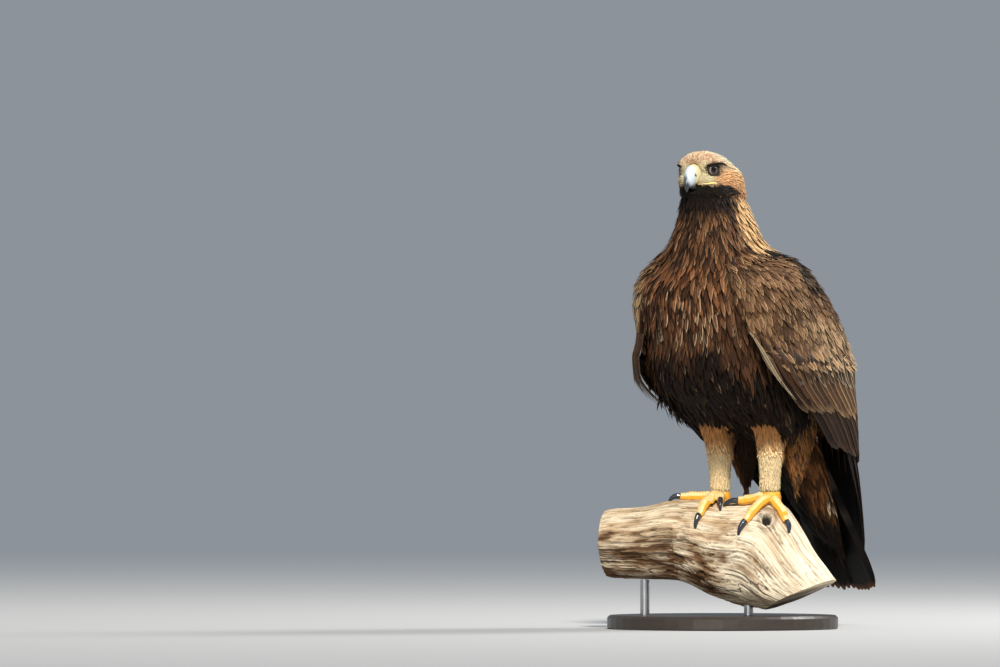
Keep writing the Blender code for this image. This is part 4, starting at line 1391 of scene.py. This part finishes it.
def eye_piece(side, material):
    """An eyeball with pupil, iris and dark rim, painted by the angle from the line of sight."""
    shape = bmesh.new()
    bmesh.ops.create_uvsphere(shape, u_segments=64, v_segments=64, radius=EYE_RADIUS)
    mesh = mesh_from(shape, "eye")
    co = positions(mesh)
    angle = np.degrees(np.arccos(np.clip(co[:, 2] / EYE_RADIUS, -1, 1)))
    around = np.arctan2(co[:, 1], co[:, 0])
    streak = 0.5 + 0.5 * np.sin(around * 23 + np.sin(around * 7) * 2)
    hazel = layered(plain("iris_deep", co), ("iris", 0.35 * streak + 0.65 * smooth(angle, 27, 40)))
    colour = mix(plain("pupil", co), hazel, smooth(angle, 26, 28.5))
    paint_points(mesh, layered(colour, ("pupil", smooth(angle, 42, 47))))
    turn = Vector((0, 0, 1)).rotation_difference(eye_axis(side)).to_matrix().to_4x4()
    mesh.transform(Matrix.Translation(eye_centre(side) + FEET) @ turn)
    return add_piece(sided("eyeball", side), mesh, material)


def tube_mesh(name, points, radii):
    """A closed, slightly flat tube along points, with a radius at each."""
    rings = []
    for i, point in enumerate(points):
        tangent = (points[min(i + 1, len(points) - 1)] - points[max(i - 1, 0)]).normalized()
        side = tangent.cross(Vector((0, 0, 1))).normalized()
        rings.append(oval_ring(point, side, side.cross(tangent), radii[i], radii[i] * 0.8, 12, 2.0))
    return loft_mesh(name, rings)


def lid_piece(side, material):
    """The dark rim of bare skin round an eye, thicker over its top."""
    axis = eye_axis(side)
    across = Vector((0, 0, 1)).cross(axis).normalized()
    upright = axis.cross(across)
    centre = eye_centre(side) + FEET
    shape = bmesh.new()
    rows = []
    around, section = 72, 12
    for i in range(around):
        angle = 2 * math.pi * i / around
        out = across * math.cos(angle) + upright * math.sin(angle)
        tilt = math.radians(50 - 4 * max(0.0, math.sin(angle)))
        middle = centre + (axis * math.cos(tilt) + out * math.sin(tilt)) * (EYE_RADIUS + 0.0004)
        thick = 0.0013 + 0.0010 * max(0.0, math.sin(angle)) + 0.00012 * math.sin(angle * 19)
        row = []
        for j in range(section):
            turn = 2 * math.pi * j / section
            point = middle + out * math.cos(turn) * thick * 1.3 + axis * math.sin(turn) * thick
            row.append(shape.verts.new(point))
        rows.append(row)
    for i in range(around):
        for j in range(section):
            k, m = (i + 1) % around, (j + 1) % section
            shape.faces.new((rows[i][j], rows[k][j], rows[k][m], rows[i][m]))
    bmesh.ops.recalc_face_normals(shape, faces=shape.faces)
    return add_piece(sided("eyelid", side), mesh_from(shape, "eyelid"), material)


def gape_piece(side, tree, material):
    """The yellow fold of skin that runs from the bill's corner back under the eye."""
    _, across = head_frame()
    points = []
    for ahead, up in GAPE[side]:
        start = head_point(60 * side, ahead, up) + FEET
        hit = tree.ray_cast(start, across * -side)[0]
        points.append(hit + across * (side * 0.0008) if hit else head_point(11.5 * side, ahead, up) + FEET)
    first = head_point(10.6 * side, *GAPE[side][0]) + FEET
    points[0] = first if (points[0] - first).length > 0.004 else points[0]
    fine = []
    for k in range(len(points) - 1):
        fine += [points[k].lerp(points[k + 1], s / 4) for s in range(4)]
    fine.append(points[-1])
    shares = [i / (len(fine) - 1) for i in range(len(fine))]
    radii = [0.0003 + 0.0019 * math.sin(math.pi * (0.12 + 0.88 * share ** 1.5)) for share in shares]
    mesh = tube_mesh("gape", fine, radii)
    local = local_of(positions(mesh))
    _, _, up = head_places(local)
    spots = ("wax", 0.3 + 0.4 * patches(local, 3, 8))
    paint_points(mesh, layered(plain("yellow", local), spots, ("olive", smooth(-up, 22.2, 23.6) * 0.8)))
    return add_piece(sided("gape", side), mesh, material)


def brow_piece(side, tree, material):
    """The ridge that shades the eye, and the line that runs back from it, both painted dark as painted shadow
    of the brow.
    """
    _, across = head_frame()
    points, radii = [], []
    for k in range(4 * (len(BROW) - 1) + 1):
        ahead, up, thick = table_at(numbered(BROW), k / 4)
        up -= 3.0 if side < 0 else 0.4
        hit = tree.ray_cast(head_point(60 * side, ahead, up) + FEET, across * -side)[0]
        if hit:
            points.append(hit + across * (side * (0.0002 + 0.0005 * thick)))
            radii.append(thick * MM)
    mesh = tube_mesh("brow", points, radii)
    local = local_of(positions(mesh))
    _, ahead, up = head_places(local)
    places, heights, _ = zip(*BROW[::-1])
    top = smooth(up - np.interp(ahead, places, heights), 0.6, 2.0)
    behind = ("umber", smooth(-ahead, 6, 24) * 0.6)
    # Black and umber are painted shadow over and behind the eye; the top of the ridge is lighter rufous
    paint_points(mesh, layered(plain("soot", local), behind, ("rufous", top * 0.35)))
    return add_piece(sided("brow", side), mesh, material)


# The length of one cross plate on the toes
SCUTE = 0.0046


def along_toes(foot, heel, co):
    """How far along the nearest toe each point of a foot lies, and its shift inward near the claw."""
    nearest, along = np.full(len(co), np.inf), np.zeros(len(co))
    inward = np.zeros((len(co), 3))
    for claw in nodes:
        if not claw.startswith(foot.replace("foot", "claw")):
            continue
        low, high = (np.array(corner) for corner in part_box(claw))
        toe = (low + high) / 2 - heel
        reach = np.linalg.norm(toe)
        axis = toe / reach
        t = (co - heel) @ axis
        narrow = 0.32 * smooth(t, reach - 0.020, reach - 0.008)
        away = np.linalg.norm(co - heel - np.clip(t, 0, reach)[:, None] * axis, axis=1)
        closer = away < nearest
        nearest[closer] = away[closer]
        along[closer] = t[closer]
        inward[closer] = ((heel + t[:, None] * axis - co) * narrow[:, None])[closer]
    return along, inward


def foot_piece(side, material):
    """Toes with cross plates on top and fine scales below, made from the foot's own solid."""
    name = sided("foot", side)
    mesh = refined(nodes[name].data.copy(), 5, FOOT_VOXEL)
    co = positions(mesh)
    normals = normals_of(mesh)
    heel = np.array(FEET) + np.array((0.050 * side, 0.0, 0.008))
    along, inward = along_toes(name, heel, co)
    groove = np.maximum(1 - np.abs(np.sin(np.pi * along / SCUTE)) / 0.30, 0)
    on_top = smooth(normals[:, 2], 0.15, 0.55) * smooth(along, 0.006, 0.012)
    pebbles = patches(co / MM, 1.3, 5)
    depth = groove * on_top * 0.0009 + (1 - on_top) * (1 - pebbles) * 0.0005
    set_positions(mesh, co + inward - normals * depth[:, None])
    pale = ("wax", (0.40 + patches(co / MM, 11, 4) * 0.5) * on_top)
    between = ("rufous", np.clip(groove * on_top * 0.75 + (1 - on_top) * 0.40 * (1 - pebbles), 0, 1))
    paint_points(mesh, layered(plain("toe", co), pale, between))
    piece = add_piece(f"{name}_skin", mesh, material)
    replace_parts(piece, name)


def claw_piece(name, material):
    mesh = refined(nodes[name].data.copy(), 4, CLAW_VOXEL)
    piece = add_piece(name.replace("claw", "talon"), mesh, material)
    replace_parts(piece, name)


# Branch and stand


PERCH_ROWS = numbered(PERCH)


def perch_directions():
    along = Vector((math.cos(PERCH_TURN), math.sin(PERCH_TURN), 0))
    ahead = Vector((math.sin(PERCH_TURN), -math.cos(PERCH_TURN), 0))
    return along, ahead


def wood_material():
    graph = Graph("weathered_wood", 0.82, 0.3)
    place = graph.add("UVMap", {}, uv_map="Grain")["UV"]
    stretched = graph.add("Mapping", {"Vector": place, "Scale": (9, 260, 1)})["Vector"]
    grain = graph.noise(1.0, 8, stretched, Roughness=0.65, Distortion=0.6)
    graph.tint(graph.scaled(grain, 2.5, -0.27))
    graph.bump(grain, 0.6, 0.0015)
    return graph.material


def branch_surface(at, turn, swell=1.0):
    """The middle of the branch at a row, the way from there to its surface, and the place along it."""
    along, ahead = perch_directions()
    top_at, top_height, low_at, low_height, half_depth = table_at(PERCH_ROWS, at)
    top = along * (top_at * MM) + Vector((0, 0, top_height * MM))
    low = along * (low_at * MM) + Vector((0, 0, low_height * MM))
    upward = (top - low) / 2 * (math.cos(turn) * swell)
    return (top + low) / 2, upward + ahead * (math.sin(turn) * swell * half_depth * MM), top_at


def knot_place():
    """The middle of the knot hole on the bark."""
    at = np.interp(KNOT[0], [row[0] for row in PERCH], range(len(PERCH)))
    middle, reach, _ = branch_surface(at, math.radians(KNOT[1]))
    return middle + reach


def bark_point(at, turn, knot):
    """A point of the bark and its colour: cracks, hollows and fibres along the branch, and a knot hole, with
    painted shade in the cracks, hollows, knot hole and underside.
    """
    level = math.cos(turn)
    ridge = 0.030 * math.sin(5 * turn + at * 0.4) + 0.022 * math.sin(9 * turn - at)
    centre, reach, top_at = branch_surface(at, turn, 1 + ridge * (0.25 if level > 0.2 else 1.0))
    around = Vector((level, math.sin(turn), 0))
    bend = Vector((0, 0, top_at / 150))
    coarse = noise.fractal(around * 5.2 + bend * 3, 0.9, 2.2, 4)
    split = noise.noise(around * 9 + bend * 1.6 + Vector((4, 4, 0.6 * coarse)))
    split_fine = noise.noise(around * 26 + bend * 3.2 + Vector((9, 1, coarse)))
    fibre = noise.noise(around * 60 + bend * 4)
    # Cracks and hollows are deeper and darker off the top of the branch; their darker colour is painted shade
    away_from_top = 1 - 0.8 * max(0.0, level) ** 0.6
    line = max(0.0, 1 - abs(split) / 0.10) * (0.55 + 0.45 * away_from_top)
    line_fine = max(0.0, 1 - abs(split_fine) / 0.14) * 0.7 * (0.4 + 0.6 * away_from_top)
    left = 1 - float(smooth(top_at, -20, 50))
    hollow = max(0.0, -coarse * 1.7 - 0.05) * away_from_top * (0.3 + 0.7 * left)
    offset = (centre + reach - knot) / MM
    shift = offset.dot(perch_directions()[0])
    away = math.sqrt(1.3 * shift * shift + 0.5 * (offset.length_squared - shift * shift))
    hole = 1 - float(smooth(away, 6.6, 9.6))
    rim = math.exp(-(((away - 14) / 4.0) ** 2))
    relief = -0.035 * line - 0.012 * line_fine - 0.045 * hollow + 0.006 * fibre - 0.004
    relief += (-8.0 * hole + 1.6 * rim) / 68
    # Painted shade on the underside of the branch's left part
    under = float(smooth(-level, -0.45, 0.35)) * left * (0.75 - 0.9 * coarse)
    rings = rim * (0.6 + 0.4 * math.sin(away * 2.4))
    # Brown and black in the cracks, hollows, knot hole and underside are painted shade; the brown rings round
    # the knot are the wood's own
    colour = layered(
        PAINTS["beige"],
        # The right limb is paler, partly bleached wood and partly painted light
        ("bleached_and_lit", min(1.0, max(0.0, 0.25 + 0.65 * (1 - left) + 0.9 * coarse + 0.5 * fibre))),
        ("brown", min(1.0, 0.9 * hollow + 0.6 * line_fine + 0.85 * rings + max(0.0, under))),
        ("black", min(1.0, 0.85 * line + hole + 0.6 * max(0.0, hollow - 0.35))),
    )
    return centre + reach * (1 + relief) + FEET, colour


def loop_values(elements, name):
    values = np.empty(len(elements), dtype=np.int32)
    elements.foreach_get(name, values)
    return values


def unwrap_branch(mesh, places):
    """A map that runs along and round the branch, and past the end of its range at the seam."""
    grain = np.array(places)[loop_values(mesh.loops, "vertex_index")]
    starts = loop_values(mesh.polygons, "loop_start")
    for start in starts[loop_values(mesh.polygons, "loop_total") == 4]:
        quad = grain[start : start + 4]
        if quad[:, 1].max() - quad[:, 1].min() > 0.5:
            quad[quad[:, 1] < 0.5, 1] += 1
    mesh.uv_layers.new(name="Grain").data.foreach_set("uv", grain.astype(np.float32).ravel())


def perch_piece(material):
    """The dead branch, with cracks and ridges that run along it."""
    rings, around = 300, 300
    knot = knot_place()
    shape, tints, places = [], [], []
    for k in range(rings + 1):
        at = (len(PERCH) - 1) * k / rings
        made = [bark_point(at, 2 * math.pi * i / around, knot) for i in range(around)]
        shape.append([point for point, _ in made])
        tints += [tint for _, tint in made]
        places += [(k / rings, i / around) for i in range(around)]
    mesh = loft_mesh("branch", shape)
    paint_points(mesh, np.array(tints))
    unwrap_branch(mesh, places)
    piece = add_piece("branch", mesh, material)
    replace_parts(piece, "perch")


def plain_material(name, colour, roughness, metallic=0.0, scale=60.0, amount=0.2, stretch=(1, 1, 1)):
    """One colour, made darker and lighter by the amount with noise."""
    graph = Graph(name, roughness)
    place = graph.add("TexCoord", {})["Object"]
    stretched = graph.add("Mapping", {"Vector": place, "Scale": stretch})["Vector"]
    texture = graph.noise(scale, 6, stretched)
    low, high = (np.clip(linear(colour) * (1 + sign * amount), 0, 1) for sign in (-1, 1))
    shades = graph.add("Mix", {"Factor": texture, "A": (*low, 1), "B": (*high, 1)}, data_type="RGBA")
    graph.feed(graph.shader, {"Metallic": metallic, "Base Color": shades["Result"]})
    graph.bump(texture, 0.15, 0.0005)
    return graph.material


def dress_node(name, material):
    node = nodes[name]
    if not node.material_slots:
        node.data.materials.append(material)
    for slot in node.material_slots:
        slot.link = "OBJECT"
        slot.material = material


# Floor, light and camera


BACKDROP = (0.262, 0.290, 0.322, 1)
FLOOR_COLOUR = (0.42, 0.42, 0.42, 1)
FLOOR_FADE = (0.5, 9.0)
FLOOR_HALF = 80
# Name, kind, azimuth, elevation, distance, power, colour and size. The sun lights bird and floor alike
LAMPS = (
    ("sun", "SUN", 45, 40, 0.0, 4.5, (1.0, 0.97, 0.91), {"angle": math.radians(6)}),
    ("fill", "AREA", 22, 11, 8.0, 128, (1.0, 0.96, 0.90), {"shape": "DISK", "size": 3.0}),
    ("rim", "AREA", 150, 38, 3.2, 105, (1.0, 1.0, 1.0), {"shape": "DISK", "size": 1.2}),
)


def floor_material():
    """A pale floor that fades into the backdrop away from the model."""
    graph = Graph("pale_floor", 0.9, 0.1)
    graph.feed(graph.shader, {"Base Color": FLOOR_COLOUR})
    place = graph.add("TexCoord", {})["Object"]
    reach = graph.add("VectorMath", {0: place}, operation="LENGTH")["Value"]
    span = dict(zip(("From Min", "From Max"), FLOOR_FADE))
    fade = graph.add("MapRange", {"Value": reach, **span}, interpolation_type="SMOOTHSTEP")["Result"]
    glow = graph.add("Emission", {"Color": BACKDROP})[0]
    blend = graph.add("MixShader", {0: fade, 1: graph.shader.outputs[0], 2: glow})[0]
    graph.feed(graph.nodes["Material Output"], {"Surface": blend})
    return graph.material


def build_stage():
    mesh = bpy.data.meshes.new("floor")
    corners = [(x * FLOOR_HALF, y * FLOOR_HALF, 0) for x, y in ((-1, -1), (1, -1), (1, 1), (-1, 1))]
    mesh.from_pydata(corners, [], [(0, 1, 2, 3)])
    mesh.materials.append(floor_material())
    floor = link_object("floor", mesh)
    world = bpy.data.worlds.new("studio")
    bpy.context.scene.world = world
    world.use_nodes = True
    background = world.node_tree.nodes["Background"]
    background.inputs["Color"].default_value = BACKDROP
    bpy.context.scene.view_settings.view_transform = "Standard"


def add_lamp(name, kind, azimuth, elevation, distance, power, colour, settings):
    """A lamp that shines on the bird from a direction round it and above it, in degrees."""
    light = bpy.data.lights.new(name, kind)
    light.energy = power
    light.color = colour
    for key, value in settings.items():
        setattr(light, key, value)
    turn, tilt = math.radians(azimuth), math.radians(elevation)
    offset = Vector((math.sin(turn) * math.cos(tilt), -math.cos(turn) * math.cos(tilt), math.sin(tilt)))
    lamp = link_object(name, light)
    lamp.location = FEET + Vector((0, 0, 0.25)) + offset * distance
    lamp.rotation_euler = (-offset).to_track_quat("-Z", "Y").to_euler()


def build_camera():
    """Looks level along the photograph's line of sight, with the bird right of the middle."""
    right = Vector((math.cos(PICTURE_TURN), math.sin(PICTURE_TURN), 0))
    sight = Vector((-math.sin(PICTURE_TURN), math.cos(PICTURE_TURN), 0))
    camera = link_object("camera", bpy.data.cameras.new("camera"))
    middle = FEET + right * PICTURE_MIDDLE[0] + Vector((0, 0, PICTURE_MIDDLE[1]))
    camera.location = middle - sight * CAMERA_DISTANCE
    camera.rotation_euler = sight.to_track_quat("-Z", "Y").to_euler()
    camera.data.sensor_width = SENSOR
    camera.data.lens = SENSOR * CAMERA_DISTANCE / PICTURE_WIDTH
    camera.data.clip_end = 200
    bpy.context.scene.camera = camera


def build_plumage():
    """Skin and feathers. Returns a search tree of the skin for the pieces that lie on it."""
    soft = feather_material("feather_soft", 0.72, 26)
    stiff = feather_material("feather_stiff", 0.56, 60)
    skin_mesh = build_skin()
    local = local_of(positions(skin_mesh))
    regions = regions_of(local)
    base, _ = markings(local, regions, np.full(len(local), 0.5))
    paint_points(skin_mesh, base * np.where(regions == SHANK, 0.9, 0.5)[:, None])
    skin = add_piece("skin", skin_mesh, tinted_material("skin", 0.8, 0.2, grain=0.4, grain_scale=300))
    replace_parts(skin, *SKIN_NODES)
    tree = tree_of(skin_mesh)
    for region in COATS:
        coat(region, skin_mesh, tree, soft)
    for side, name in ((1, "wing_left"), (-1, "wing_right")):
        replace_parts(wing_feathers(side, stiff), name)
    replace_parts(tail_feathers(stiff), "tail")
    return tree


def build_bare_parts(tree):
    """Bill, eyes with their rims and ridges, feet and claws."""
    horn = tinted_material("bill_horn", 0.26, 0.5, 0.5, 0.05, 250)
    wax = tinted_material("cere_skin", 0.42, 0.5, 0.1, 0.25, 900)
    scaly = tinted_material("toe_skin", 0.42, 0.5, 0.15, 0.5, 900)
    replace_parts(beak_piece("bill_upper", UPPER_BEAK, upper_beak_colours, horn, 40, 60), "upper_beak")
    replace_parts(beak_piece("bill_cere", CERE, cere_colours, wax, 60, 50), "cere")
    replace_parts(beak_piece("bill_lower", LOWER_BEAK, lower_beak_colours, horn, 32, 30), "lower_beak")
    wet = tinted_material("wet_eye", 0.05, 0.35, 0.25)
    # The brow's black tint is painted shadow over the eye
    ridge = tinted_material("brow_skin", 0.7, 0.15, grain=0.5, grain_scale=900)
    rim = plain_material("lid_skin", (34, 26, 22), 0.5, scale=900, amount=0.4)
    for side, name in ((1, "eye_left"), (-1, "eye_right")):
        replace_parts(eye_piece(side, wet), name)
        lid_piece(side, rim)
        gape_piece(side, tree, wax)
        brow_piece(side, tree, ridge)
        foot_piece(side, scaly)
    claw = plain_material("claw_horn", (44, 47, 56), 0.20, scale=160, amount=0.5)
    for name in nodes:
        if name.startswith("claw"):
            claw_piece(name, claw)


def build_support():
    perch_piece(wood_material())
    varnish = plain_material("base_varnish", (52, 44, 38), 0.35, scale=9, amount=0.3, stretch=(1, 14, 14))
    dress_node("stand_base", varnish)
    steel = plain_material("brushed_steel", (190, 190, 192), 0.32, 1.0, 30, 0.12, (1, 1, 12))
    for name in ("stand_rod_1", "stand_rod_2"):
        dress_node(name, steel)


def main():
    build_camera()
    build_stage()
    for lamp in LAMPS:
        add_lamp(*lamp)
    build_bare_parts(build_plumage())
    build_support()


main()
